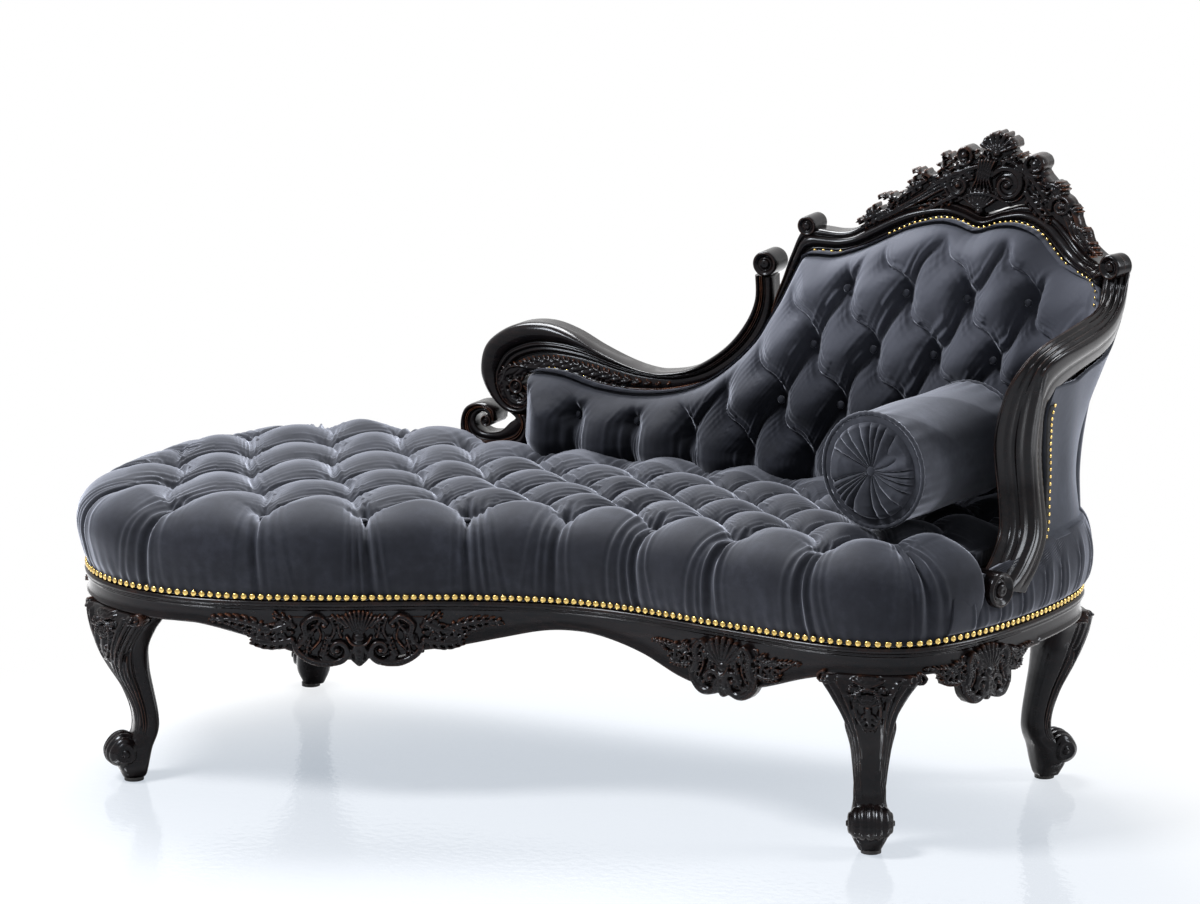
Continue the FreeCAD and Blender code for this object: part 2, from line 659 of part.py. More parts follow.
def scroll(middle, axis, radius, length):
    """Short turned scroll with a domed eye at each end."""
    axis = Vector(axis)
    axis.normalize()
    side = axis.cross(Vector(0.0, 0.0, 1.0))
    side.normalize()
    up = side.cross(axis)
    rings = []
    for along, share in scroll_shares:
        centre = middle + axis * (length * along)
        rings.append([centre + side * (radius * share * math.cos(2.0 * math.pi * k / scroll_sides))
                      + up * (radius * share * math.sin(2.0 * math.pi * k / scroll_sides))
                      for k in range(scroll_sides)])
    return skin(rings)


def bolt_placement(middle, outward, back):
    """Bolt axis through the corner block into the post, pointing outwards."""
    start = middle - outward * back + Vector(0.0, 0.0, block_middle)
    return FreeCAD.Placement(start, FreeCAD.Rotation(Vector(0.0, 0.0, 1.0), outward))


block_middle = S.rail_top - S.rail_deep / 2.0
post_inner = S.leg_depth / 2.0
bolt_length = S.bolt_grip + S.block_deep
leg_solids = {}
glides = []
blocks = []
bolts = []
for name in leg_place_shares:
    middle, outward, toe = leg_frame(name)
    rings = [leg_section(middle, outward, toe, S.glide_thick / S.rail_top, *leg_foot_shares)]
    rings += [leg_section(middle, outward, toe, *shares) for shares in leg_section_shares]
    slim_depth = (S.leg_depth - 3.0 * S.rebate_in) / S.leg_depth
    slim_width = (S.leg_width - S.rebate_in) / S.leg_width
    for height in (1.0, 1.0 + S.rebate_rise / S.rail_top):
        rings.append(leg_section(middle, outward, toe, height, 0.0, slim_depth, slim_width))
    leg = skin(rings)
    forward, height, toe_length = toe_shares
    toe_axis = Vector(-toe.y, toe.x, 0.0)
    toe_middle = middle + toe * (forward * S.leg_depth) + Vector(0.0, 0.0, height * S.rail_top)
    leg = leg.fuse(scroll(toe_middle, toe_axis, S.toe_scroll, S.leg_width * toe_length))
    hole = Part.makeCylinder(S.bolt_radius + S.bolt_play, bolt_length + S.bolt_play)
    hole.Placement = bolt_placement(middle, outward, post_inner + S.block_deep)
    leg = leg.cut(hole)
    leg_solids[name] = largest(leg)
    glides.append(bound("Part::Cylinder", name + "_glide",
                        {"Radius": "glide_radius", "Height": "glide_thick"},
                        FreeCAD.Placement(middle, FreeCAD.Rotation())))
    block = Part.makeBox(S.block_deep, S.block_wide, S.block_high)
    turn = FreeCAD.Rotation(Vector(1.0, 0.0, 0.0), outward)
    corner = Vector(-post_inner - S.block_deep, -S.block_wide / 2.0,
                    block_middle - S.block_high / 2.0)
    block.Placement = FreeCAD.Placement(middle + turn.multVec(corner), turn)
    blocks.append(block.cut(hole))
    shank = Part.makeCylinder(S.bolt_radius, bolt_length)
    head = Part.makeCylinder(S.bolt_head, S.bolt_head_thick, Vector(0.0, 0.0, -S.bolt_head_thick))
    bolt = shank.fuse(head)
    bolt.Placement = bolt_placement(middle, outward, post_inner + S.block_deep)
    bolts.append(bolt)
bead_top = S.rail_top - S.bead_drop
bead = ring(-S.bead_proud, 0.0, bead_top - S.bead_wide, bead_top)
for name, leg in leg_solids.items():
    leg_solids[name] = largest(leg.cut(bead))
    keep(name, leg_solids[name])
group("leg_glides", glides)
keep("corner_blocks", Part.makeCompound(blocks))
keep("corner_bolts", Part.makeCompound(bolts))

# Seat rails: one band, rebated at the top, cut to the apron line and jointed into the posts
straight_low = S.rail_top - S.rail_deep
apron_low = S.rail_top - S.apron_drop * apron_low_share
band = ring(0.0, S.rail_thick, apron_low, S.rail_top)
band = band.fuse(ring(S.rebate_in, S.rail_thick, S.rail_top, S.rail_top + S.rebate_rise))
reach = S.frame_length


def apron_tool():
    """Everything under the apron line, front to back of the front rail."""
    line = [Vector(x * S.frame_length, -reach, S.rail_top + z * S.apron_drop)
            for x, z in apron_shares]
    curve = Part.BSplineCurve()
    curve.interpolate(Points=line)
    left = Vector(-reach, -reach, line[0].z)
    right = Vector(reach, -reach, line[-1].z)
    low = Vector(0.0, 0.0, -reach)
    wire = Part.Wire([Part.LineSegment(left, line[0]).toShape(), curve.toShape(),
                      Part.LineSegment(line[-1], right).toShape(),
                      Part.LineSegment(right, right + low).toShape(),
                      Part.LineSegment(right + low, left + low).toShape(),
                      Part.LineSegment(left + low, left).toShape()])
    return Part.Face(wire).extrude(Vector(0.0, reach, 0.0))


def block_below(x_low, x_high, y_low, y_high):
    """Box under the straight lower edge of the rails."""
    return Part.makeBox(x_high - x_low, y_high - y_low, straight_low,
                        Vector(x_low, y_low, 0.0))


band = band.cut(apron_tool())
band = band.cut(block_below(-reach, reach, 0.0, reach))
for name in leg_place_shares:
    middle, outward, toe = leg_frame(name)
    housing = Part.makeBox(S.leg_depth * 2.0, S.leg_width, reach)
    turn = FreeCAD.Rotation(Vector(1.0, 0.0, 0.0), outward)
    corner = Vector(-post_inner * 2.0, -S.leg_width / 2.0, 0.0)
    housing.Placement = FreeCAD.Placement(middle + turn.multVec(corner), turn)
    band = band.cut(housing).cut(leg_solids[name])
rails = sorted(band.Solids, key=lambda s: s.Volume, reverse=True)[:4]
rail_places = {"front_rail": lambda c: c.y, "back_rail": lambda c: -c.y,
               "head_rail": lambda c: -c.x, "foot_rail": lambda c: c.x}
for name, rank in rail_places.items():
    rail = min(rails, key=lambda s: rank(s.CenterOfMass))
    rails.remove(rail)
    keep(name, rail)
keep("seat_rail_bead", bead)


def cartouche(before, after, middle_share, half_share, low_share, high_share, proud_share):
    """Carved relief on the face of the rail: a leaf-ended oval, deepest in its middle."""
    steps = 14
    rings = []
    low_end, high_end = leaf_height_shares
    start = leg_runs[before] + S.leg_width / 2.0 + S.leaf_gap
    end = leg_runs[after] - S.leg_width / 2.0 - S.leaf_gap
    for i in range(steps + 1):
        across = between(-leaf_end_share, leaf_end_share, i / steps)
        run = between(start, end, middle_share + half_share * across)
        fullness = math.sqrt(1.0 - across * across)
        lobe = 1.0 - leaf_lobe_share * math.sin(math.pi * 4.0 * across) ** 2
        low = S.rail_top + S.apron_drop * between(low_end, low_share, fullness * lobe)
        high = S.rail_top + S.apron_drop * between(high_end, high_share, fullness)
        proud = S.rail_thick * proud_share * max(fullness, 0.2)
        section = []
        for up, out in leaf_section_shares:
            section.append(frame_point(run, -proud * out, between(low, high, up)))
        rings.append(section)
    return skin(rings)


face_band = prism(0.0, apron_low, S.rail_top)
for name, shares in cartouche_shares.items():
    keep(name, largest(cartouche(*shares).cut(face_band)))

# Posts and low rails of the back, which stand on the seat rails
web_low = S.rail_top + S.rebate_rise
deck_low = web_low + 2.0 * S.web_thick
deck_top = deck_low + S.deck_thick


def upright(low_run, high_run, low_rise, high_rise, steps):
    """Board in the thickness of the posts, between two runs that may change with the rise."""
    lines = []
    for out in (-S.post_half, S.post_half):
        for run_at in (low_run, high_run):
            rises = [between(low_rise, high_rise, k / steps) for k in range(steps + 1)]
            lines.append([shell_point(run_at(rise), rise, out) for rise in rises])
    return skin([[a, b, d, c] for a, b, c, d in zip(*lines)])


arm_back_edge = sorted((b * S.back_rise, a * S.frame_length)
                       for a, b in arm_outer_back_shares[6:])


def arm_post_front(rise):
    return look_up(arm_back_edge, rise) - S.joint_gap


def arm_post_rear(rise):
    return arm_post_front(rise) - S.post_wide * arm_post_wide_share


posts = {}
for name, run_share, top_share in post_shares:
    run = run_share * S.frame_length
    posts[name] = upright(lambda rise: run, lambda rise: run + S.post_wide, S.rebate_rise,
                          top_share * S.back_rise, 6)
posts["arm_post"] = upright(arm_post_rear, arm_post_front, S.rebate_rise,
                             arm_post_top_share * S.back_rise, 8)
for name, post in posts.items():
    keep(name, post)


def low_rail(start, end, steps):
    """Rail along the foot of the back, between two posts."""
    low, high = low_rail_rise, low_rail_rise + S.post_wide
    rings = []
    for k in range(steps + 1):
        run = between(start, end, k / steps)
        rings.append([shell_point(run, rise, out) for rise, out in
                      ((low, -S.post_half), (high, -S.post_half), (high, S.post_half),
                       (low, S.post_half))])
    return skin(rings)


low_rails = []
post_runs = [share * S.frame_length for _, share, _ in post_shares]
low_rail_rise = deck_top - S.rail_top
arm_end = min(arm_post_rear(low_rail_rise), arm_post_rear(low_rail_rise + S.post_wide))
low_ends = post_runs[1:] + [arm_end - S.clear]
for start, end in zip(post_runs, low_ends):
    steps = 4 if end < 0.5 * S.frame_length else 12
    low_rails.append(low_rail(start + S.post_wide, end, steps))
keep("back_low_rails", Part.makeCompound(low_rails))

# Cross rails, webbing, deck and dust cover
inner_space = prism(S.rail_thick + S.clear, 0.0, S.rail_top)
cross_rails = []
for share in cross_rail_shares:
    bar = Part.makeBox(S.cross_wide, reach * 2.0, S.cross_high,
                       Vector(share * S.frame_length - S.cross_wide / 2.0, -reach,
                              S.rail_top - S.cross_high))
    cross_rails.append(bar.common(inner_space))
keep("cross_rails", Part.makeCompound(cross_rails))
web_space = prism(S.web_inset, 0.0, reach)
for post in posts.values():
    web_space = web_space.cut(post)
straps_long = []
for share in long_strap_shares:
    strap = Part.makeBox(reach * 2.0, S.web_wide, S.web_thick,
                         Vector(-reach, share * S.frame_depth, web_low))
    straps_long.append(strap.common(web_space))
keep("webbing_long", Part.makeCompound(straps_long))
straps_cross = []
for k in range(cross_strap_count):
    first, last = cross_strap_shares
    place = between(first, last, k / (cross_strap_count - 1)) * S.frame_length
    strap = Part.makeBox(S.web_wide, reach * 2.0, S.web_thick,
                         Vector(place, -reach, web_low + S.web_thick))
    straps_cross.append(strap.common(web_space))
keep("webbing_cross", Part.makeCompound(straps_cross))
deck = prism(S.web_inset, deck_low, deck_top)
for post in posts.values():
    deck = deck.cut(post)
keep("hessian_deck", deck)
dust_cover = prism(S.rail_thick + S.clear, straight_low, straight_low + S.dust_thick)
for leg in leg_solids.values():
    dust_cover = dust_cover.cut(leg)
keep("dust_cover", dust_cover)


# Seat: filling under a tufted cover
def step_in(run):
    """1 behind the back and arm, 0 at the open front and foot."""
    share = run / S.frame_length
    if share > whole_run / S.frame_length / 2.0:
        share -= whole_run / S.frame_length
        rise = (share - step_in_shares[0]) / (step_in_shares[1] - step_in_shares[0])
        return smooth_step(rise)
    fall = (share - step_out_shares[0]) / (step_out_shares[1] - step_out_shares[0])
    return 1.0 - smooth_step(fall)


def seat_edge(run):
    return S.seat_back_in * step_in(run)


foam_top = deck_top + S.foam_rise
keep("seat_filling", prism(S.foam_inset, deck_top, foam_top, seat_edge))
seat_edge_height = S.seat_crown - S.seat_edge_fall


def seat_rows(x):
    front = look_up(front_row_shares, x / S.frame_length) * S.frame_depth
    back = look_up(back_row_shares, x / S.frame_length) * S.frame_depth
    return front, back


def seat_lattice(x, y):
    front, back = seat_rows(x)
    row = min(float(row_count), max(0.0, row_count * (y - front) / (back - front)))
    column = x / S.tuft_pitch - first_column_share
    return column, row


def lattice_place(column, row):
    x = (column + first_column_share) * S.tuft_pitch
    front, back = seat_rows(x)
    return x, between(front, back, row / row_count)


seat_border = []
for run in plan_runs:
    p = frame_point(run, seat_edge(run) + S.seat_edge_in, 0.0)
    seat_border.append((p.x, p.y))


def seat_height(x, y):
    column, row = seat_lattice(x, y)
    tuft = pillow(column + row / 2.0, column - row / 2.0)
    edge = min(1.0, border_distance(x, y, seat_border) / (S.tuft_pitch / 2.0))
    fall = S.seat_edge_fall * (1.0 - math.sqrt(1.0 - (1.0 - edge) ** 2))
    return S.seat_crown - S.tuft_depth * (1.0 - tuft) * smooth_step(edge * 1.6) - fall


def is_stepped(run):
    """True where the cover ends on the deck and has no skirt over the rail."""
    near = whole_run / plan_stations
    return max(step_in((run + k * near) % whole_run) for k in (-1, 0, 1)) > 0.0


def seat_solid():
    rows_low, rows_high = -3, 2 * row_count + 3
    inner = []
    for half_row in range(rows_low, rows_high):
        row = half_row / 2.0
        shift = 0.125 * (half_row % 2)
        for quarter in range(-26, 22):
            x, y = lattice_place(quarter / 4.0 + shift, row)
            if is_inside(x, y, seat_border):
                if border_distance(x, y, seat_border) > S.seat_edge_in:
                    inner.append((x, y))
    rings = []
    side_rings = [(0.0, between(S.rail_top, seat_edge_height, up), swell)
                  for up, swell in seat_side_shares]
    for inset, height, swell in (
            (S.foam_inset, foam_top, 0.0), (S.foam_inset, deck_top, 0.0),
            (S.skirt_thick, deck_top, 0.0), (S.skirt_thick, None, 0.0), (0.0, None, 0.0),
            (0.0, S.rail_top + S.nail_wide + S.joint_gap, 0.0),
            *side_rings, (S.seat_edge_in, seat_edge_height, 0.0)):
        points = []
        for run in plan_runs:
            step = step_in(run)
            low = deck_top if is_stepped(run) else S.rail_top
            level = low if height is None else max(height, low)
            push = S.seat_bulge * swell * (1.0 - step)
            points.append(frame_point(run, seat_edge(run) + inset - push, level))
        rings.append(points)
    count = plan_stations
    points = [p for one in rings for p in one]
    triangles = [t[::-1] for t in sides(rings)]
    top = (len(rings) - 1) * count
    start = len(points)
    top_points = [Vector(x, y, seat_height(x, y)) for x, y in inner]
    points += top_points
    for t in triangulate(seat_border, inner):
        triangles.append(tuple(top + k if k < count else start + k - count for k in t))
    ceiling = [(p.x, p.y) for p in rings[0]]
    for a, b, c in triangulate(ceiling, []):
        triangles.append((c, b, a))
    return solid_from(points, triangles), top_points


seat_cover, seat_top_points = seat_solid()
button_sides = 6


def button(middle, axis):
    """Covered button: a low faceted dome on its back plate."""
    flattest = min(range(3), key=lambda k: abs(axis[k]))
    side = axis.cross(Vector(*[float(k == flattest) for k in range(3)]))
    side.normalize()
    up = axis.cross(side)
    rings = []
    for along, share in button_shares:
        rings.append([middle + axis * (S.button_thick * along)
                      + side * (S.button_radius * share * math.cos(2 * math.pi * k / button_sides))
                      + up * (S.button_radius * share * math.sin(2 * math.pi * k / button_sides))
                      for k in range(button_sides)])
    faces = [Part.Face(Part.makePolygon(one + one[:1])) for one in (rings[0], rings[-1])]
    for low, high in zip(rings, rings[1:]):
        for k in range(button_sides):
            n = (k + 1) % button_sides
            faces.append(Part.Face(Part.makePolygon([low[k], low[n], high[n], high[k], low[k]])))
    shell = Part.Shell(faces)
    shell.sewShape()
    solid = Part.Solid(shell)
    if solid.Volume < 0.0:
        solid.reverse()
    return solid


def button_lift(height_at, place, level, pitch):
    """How high a button stands over the bottom of its tuft, where its rim meets the slopes."""
    near = pitch / 4.0
    rim = max(height_at(place - near, level), height_at(place + near, level))
    return (rim - height_at(place, level)) * S.button_radius / near + S.clear


seat_buttons = []
for row in range(row_count + 1):
    for column in range(-7, 6):
        x, y = lattice_place(column + 0.5 * (row % 2), float(row))
        if is_inside(x, y, seat_border):
            if border_distance(x, y, seat_border) > S.seat_edge_in * 1.5:
                z = seat_height(x, y) + button_lift(seat_height, x, y, S.tuft_pitch)
                seat_buttons.append(button(Vector(x, y, z), Vector(0.0, 0.0, 1.0)))
keep("seat_buttons", Part.makeCompound(seat_buttons))
nail_low = S.rail_top + S.clear
nail_trim = ring(-S.nail_proud - S.clear * 4.0, -S.clear * 4.0, nail_low,
                 nail_low + S.nail_wide)
keep("seat_nail_trim", nail_trim)

# Show wood of the back and arm


def shell_scroll(place, radius, length):
    """Scroll whose eye looks out of the room face of the back or arm."""
    run, rise = place[0] * S.frame_length, place[1] * S.back_rise
    outward = station(run)[1]
    return scroll(shell_point(run, rise, 0.0), outward, radius, length)


scroll_length = 2.0 * S.rail_half + S.carving_proud
top_scroll = shell_scroll(top_scroll_share, S.scroll_radius, scroll_length)
left_ear = shell_scroll(left_ear_share, S.ear_radius, scroll_length)
right_ear = shell_scroll(right_ear_share, S.ear_radius, scroll_length)
arm_scroll = shell_scroll(arm_scroll_share, S.arm_scroll_radius, 2.0 * S.rail_half)
keep("seat_cover", largest(seat_cover.cut(arm_scroll)))
keep("top_scroll", top_scroll)
keep("crest_ears", Part.makeCompound([left_ear, right_ear]))
keep("arm_scroll", arm_scroll)
swoop = show_rail(swoop_upper_shares, swoop_lower_shares, moulding_shares, 2)
keep("swoop_rail", largest(swoop.cut(top_scroll)))
curl = show_rail(curl_outer_shares, curl_inner_shares, moulding_shares, 2)
keep("swoop_curl", largest(curl.cut(swoop)))
crest = show_rail(crest_upper_shares, crest_lower_shares, moulding_shares, 2)
keep("crest_rail", largest(crest.cut(left_ear).cut(right_ear)))
carving = show_rail(carving_upper_shares, carving_lower_shares, relief_shares, 1, S.carving_proud)
keep("crest_carving", largest(carving.cut(crest)))
arm = moulded(shell_line(arm_inner_front_shares, -S.rail_half * arm_room_share, 2),
              shell_line(arm_outer_front_shares, S.rail_half, 2),
              shell_line(arm_outer_back_shares, S.rail_half, 2),
              shell_line(arm_inner_back_shares, -S.rail_half * arm_room_share, 2), moulding_shares)
keep("arm_rail", largest(arm.cut(right_ear).cut(arm_scroll)))

# Upholstery of the back and arm
pad_low = S.seat_crown + S.joint_gap * 2.0 - S.rail_top
pad_points = [(a * S.frame_length, b * S.back_rise) for a, b in upholstery_shares]
pad_points = [p for p in pad_points if p[1] > pad_low]
pad_end = pad_points[-1][0]


def spread(points, spacing):
    """Evenly spaced places along a broken line, its corners left out."""
    lengths = [0.0]
    for a, b in zip(points, points[1:]):
        lengths.append(lengths[-1] + math.hypot(b[0] - a[0], b[1] - a[1]))
    count = max(1, round(lengths[-1] / spacing))
    xs = list(zip(lengths, [p[0] for p in points]))
    ys = list(zip(lengths, [p[1] for p in points]))
    places = [lengths[-1] * k / count for k in range(count)]
    return [(look_up(xs, d), look_up(ys, d)) for d in places]


border_spacing = S.back_pitch / 3.0
pad_corners = [(pad_points[0][0], pad_low)] + pad_points + [(pad_end, pad_low)]
pad_border = spread(pad_corners, border_spacing)
pad_border += spread([(pad_end, pad_low), (pad_points[0][0], pad_low)], border_spacing)


def pad_fullness(run):
    """Padding past its edge: thick on the back, thin on the arm."""
    low, high = arm_pad_shares
    share = (run / S.frame_length - low) / (high - low)
    return between(S.back_pad, S.arm_pad, smooth_step(share))


def row_shift(run):
    """The lowest row climbs on the low back, to stay clear of the seat."""
    low, high = low_row_shares
    share = (run / S.frame_length - low) / (high - low)
    return S.back_row * low_row_share * (1.0 - smooth_step(share))


def first_column(rise):
    return pad_column_share + pad_lean_share * max(0.0, rise / S.back_rise - pad_lean_from_share)


def pad_lattice(run, rise):
    column = run / S.back_pitch - first_column(rise)
    row = (rise - row_shift(run) - pad_row_share * S.back_rise) / S.back_row
    return column, row


def pad_depth(run, rise):
    """How far the padding stands into the room from the shell line."""
    column, row = pad_lattice(run, rise)
    tuft = pillow(column + row / 2.0, column - row / 2.0)
    edge = min(1.0, border_distance(run, rise, pad_border) / S.pad_round)
    roundness = math.sqrt(1.0 - (1.0 - edge) ** 2)
    full = pad_fullness(run)
    sink = S.back_tuft_depth * min(1.0, full / S.back_pad) * (1.0 - tuft) * smooth_step(edge * 1.4)
    return S.pad_back + S.pad_edge + full * roundness - sink


def pad_lattice_places():
    places = []
    for half_row in range(-10, 10):
        level = pad_row_share * S.back_rise + half_row / 2.0 * S.back_row
        shift = 0.125 * (half_row % 2)
        for quarter in range(-4, 60):
            run = (quarter / 4.0 + shift + first_column(level)) * S.back_pitch
            is_button = (quarter % 4, half_row % 4) in ((0, 0), (2, 2))
            places.append((run, level + row_shift(run), is_button))
    return places


def pad_solid():
    inner = [(run, rise) for run, rise, _ in pad_lattice_places()
             if is_inside(run, rise, pad_border)
             and border_distance(run, rise, pad_border) > border_spacing * 0.45]
    count = len(pad_border)
    front = [shell_point(a, b, -pad_depth(a, b)) for a, b in pad_border + inner]
    triangles = list(triangulate(pad_border, inner))
    start = len(front)
    sparse = [p for k, p in enumerate(inner) if k % 3 == 0
              and border_distance(p[0], p[1], pad_border) > border_spacing]
    back = [shell_point(a, b, -S.pad_back) for a, b in pad_border + sparse]
    for a, b, c in triangulate(pad_border, sparse):
        triangles.append((start + c, start + b, start + a))
    for k in range(count):
        n = (k + 1) % count
        triangles.append((k, start + k, start + n))
        triangles.append((k, start + n, n))
    return solid_from(front + back, triangles)


inside_cover = largest(pad_solid().cut(crest).cut(posts["back_post_corner"]))
keep("inside_back_cover", inside_cover)
back_buttons = []
for run, rise, is_button in pad_lattice_places():
    if not is_button or not is_inside(run, rise, pad_border):
        continue
    if border_distance(run, rise, pad_border) < S.button_radius * 2.5:
        continue
    outward = station(run)[1]
    out = S.button_press - pad_depth(run, rise) - button_lift(pad_depth, run, rise, S.back_pitch)
    whole_button = button(shell_point(run, rise, out), outward * -1.0)
    back_buttons.append(largest(whole_button.cut(inside_cover)))
keep("back_buttons", Part.makeCompound(back_buttons))


def outside_panel(start, end, top_at, steps, rows):
    """Outside cover between the frame and the show wood, with a roll at its foot."""
    nail_rise = S.nail_wide + S.joint_gap
    middle, wide = roll_shares
    grids = []
    for out in (S.cover_out, S.cover_out + S.cover_thick):
        grid = []
        for i in range(steps + 1):
            share = i / steps
            column = []
            for k in range(rows + 1):
                low_run = between(start(0.0), end(0.0), share)
                rise = S.joint_gap
                if k > 0:
                    rise = between(nail_rise, top_at(low_run), ((k - 1) / (rows - 1)) ** 1.4)
                run = between(start(rise), end(rise), share)
                swell = S.roll_bulge * math.exp(-((rise / S.back_rise - middle) / wide) ** 2)
                swell *= smooth_step((rise - nail_rise) / S.nail_wide)
                inner = 0.0 if out == S.cover_out else swell
                column.append(shell_point(run, rise, out + inner))
            grid.append(column)
        grids.append(grid)
    rings = []
    for inside, outside in zip(*grids):
        rings.append(inside + outside[::-1])
    return skin_strip(rings, rows + 1)


def skin_strip(rings, half):
    """Skin over long flat sections, whose ends are closed by strips, not fans."""
    count = len(rings[0])
    points = [p for one in rings for p in one]
    triangles = sides(rings)
    for a, flip in ((0, True), ((len(rings) - 1) * count, False)):
        for k in range(half - 1):
            mate = count - 1 - k
            quads = ((a + k, a + k + 1, a + mate - 1), (a + k, a + mate - 1, a + mate))
            for t in quads:
                triangles.append(t[::-1] if flip else t)
    return solid_from(points, triangles)


pad_top = [p for p in pad_points if p[0] <= 0.60 * S.frame_length]
crest_low = sorted((a * S.frame_length, b * S.back_rise) for a, b in crest_lower_shares[5:])
arm_low = sorted((a * S.frame_length, b * S.back_rise) for a, b in arm_outer_back_shares[:5])


def outside_back_top(run):
    return look_up(pad_top + [p for p in crest_low if p[0] > pad_top[-1][0]],
                   run) - S.joint_gap * 3.0


def outside_arm_top(run):
    return look_up(arm_low, run) - S.joint_gap * 3.0


back_start = pad_points[0][0] + S.joint_gap
corner_run = corner_share * S.frame_length
back_cover = outside_panel(lambda rise: back_start, lambda rise: corner_run,
                           outside_back_top, 30, 7)
keep("outside_back_cover", largest(back_cover.cut(nail_trim)))


def arm_cover_front(rise):
    return look_up(arm_back_edge, rise) - S.joint_gap


arm_cover = outside_panel(lambda rise: corner_run + S.joint_gap, arm_cover_front,
                          outside_arm_top, 16, 8)
keep("outside_arm_cover", largest(arm_cover.cut(arm)))

# Bolster: loose, lying on the seat in the corner of back and arm
bolster_turn = math.radians(S.bolster_turn)
bolster_axis = Vector(math.sin(bolster_turn), math.cos(bolster_turn), 0.0)
bolster_rise = S.seat_crown + S.bolster_radius - S.rail_top
arm_inner = shell_point(bolster_arm_share * S.frame_length, bolster_rise,
                        -S.pad_back - S.pad_edge - S.arm_pad)
back_inner = shell_point(bolster_back_share * S.frame_length, bolster_rise,
                         -S.pad_back - S.pad_edge - S.back_pad)
bolster_far = Vector(arm_inner.x - S.bolster_radius - 3.0 * S.piping_radius,
                     back_inner.y - S.bolster_radius * math.sin(bolster_turn)
                     - 2.0 * S.end_thick, 0.0)
bolster_near = bolster_far - bolster_axis * S.bolster_length


def rest_height():
    """Height of the bolster's axis where it first meets the seat."""
    height = 0.0
    for p in seat_top_points:
        offset = p - bolster_near
        along = offset.x * bolster_axis.x + offset.y * bolster_axis.y
        aside = offset.x * bolster_axis.y - offset.y * bolster_axis.x
        if 0.0 < along < S.bolster_length and abs(aside) < S.bolster_radius:
            height = max(height, p.z + math.sqrt(S.bolster_radius ** 2 - aside ** 2))
    return height + S.clear


bolster_near.z = rest_height()
bolster_place = FreeCAD.Placement(bolster_near,
                                  FreeCAD.Rotation(Vector(0.0, 0.0, 1.0), bolster_axis))


def bolster_body():
    """Turned cushion with rounded ends: a half profile revolved about its length."""
    body = doc.addObject("PartDesign::Body", "bolster_cover")
    body.Label = "bolster_cover"
    sketch = body.newObject("Sketcher::SketchObject", "bolster_profile")
    plane = [f for f in body.Origin.OriginFeatures if f.Role == "XZ_Plane"][0]
    sketch.AttachmentSupport = [(plane, "")]
    sketch.MapMode = "FlatFace"
    radius, length, bend = S.bolster_radius, S.bolster_length, S.bolster_round
    start = Vector(0.0, 0.0, 0.0)
    low = Vector(radius - bend, 0.0, 0.0)
    low_side = Vector(radius, bend, 0.0)
    high_side = Vector(radius, length - bend, 0.0)
    high = Vector(radius - bend, length, 0.0)
    end = Vector(0.0, length, 0.0)
    half = bend * math.sqrt(0.5)
    sketch.addGeometry(Part.LineSegment(start, low))
    sketch.addGeometry(Part.Arc(low, Vector(radius - bend + half, bend - half, 0.0), low_side))
    sketch.addGeometry(Part.LineSegment(low_side, high_side))
    sketch.addGeometry(Part.Arc(high_side, Vector(radius - bend + half, length - bend + half, 0.0),
                                high))
    sketch.addGeometry(Part.LineSegment(high, end))
    sketch.addGeometry(Part.LineSegment(end, start))
    turned = body.newObject("PartDesign::Revolution", "bolster_turned")
    turned.Profile = sketch
    turned.ReferenceAxis = (sketch, ["V_Axis"])
    turned.Angle = 360.0
    doc.recompute()
    body.Placement = bolster_place
    kept["bolster_cover"] = body


bolster_body()
pleats = 20


def pleated_end(near):
    """Gathered end disc with its piping round the rim."""
    sign = -1.0 if near else 1.0
    level = 0.0 if near else S.bolster_length
    reach_out = S.bolster_radius - S.bolster_round
    rings = []
    for share, lift, wave in pleat_shares:
        one = []
        for k in range(2 * pleats):
            angle = math.pi * k / pleats
            height = S.end_thick * (lift + (wave if k % 2 else -wave))
            one.append(Vector(reach_out * share * math.cos(angle),
                              reach_out * share * math.sin(angle), level + sign * height))
        rings.append(one)
    return skin(rings)


def piping(level):
    rings = []
    steps = 28
    centre = S.bolster_radius - S.bolster_round + S.piping_radius * 1.1
    for i in range(steps):
        angle = 2.0 * math.pi * i / steps
        along = Vector(math.cos(angle), math.sin(angle), 0.0)
        rings.append([along * (centre + S.piping_radius * math.cos(math.pi * k / 3.0))
                      + Vector(0.0, 0.0, level + S.piping_radius * math.sin(math.pi * k / 3.0))
                      for k in range(6)])
    return skin(rings, closed=True)


keep("bolster_ends", Part.makeCompound([pleated_end(True), pleated_end(False)]), bolster_place)
keep("bolster_piping", Part.makeCompound([
    piping(-S.piping_radius), piping(S.bolster_length + S.piping_radius)]), bolster_place)
bolster_buttons = [
    bound("Part::Cylinder", "bolster_button_" + end, {"Radius": "button_radius",
                                                     "Height": "button_thick"},
          bolster_place.multiply(FreeCAD.Placement(Vector(0.0, 0.0, level), FreeCAD.Rotation())))
    for end, level in (("near", -S.end_thick * button_seat_share - S.button_thick),
                       ("far", S.bolster_length + S.end_thick * button_seat_share))]
group("bolster_buttons", bolster_buttons)
doc.recompute()

# The origin is on the floor under the middle of the whole piece
low = Vector(min(p.Shape.BoundBox.XMin for p in kept.values()),
             min(p.Shape.BoundBox.YMin for p in kept.values()), 0.0)
high = Vector(max(p.Shape.BoundBox.XMax for p in kept.values()),
              max(p.Shape.BoundBox.YMax for p in kept.values()), 0.0)
centring = FreeCAD.Placement((low + high) * -0.5, FreeCAD.Rotation())
for part in kept.values():
    part.Placement = centring.multiply(part.Placement)
doc.recompute()

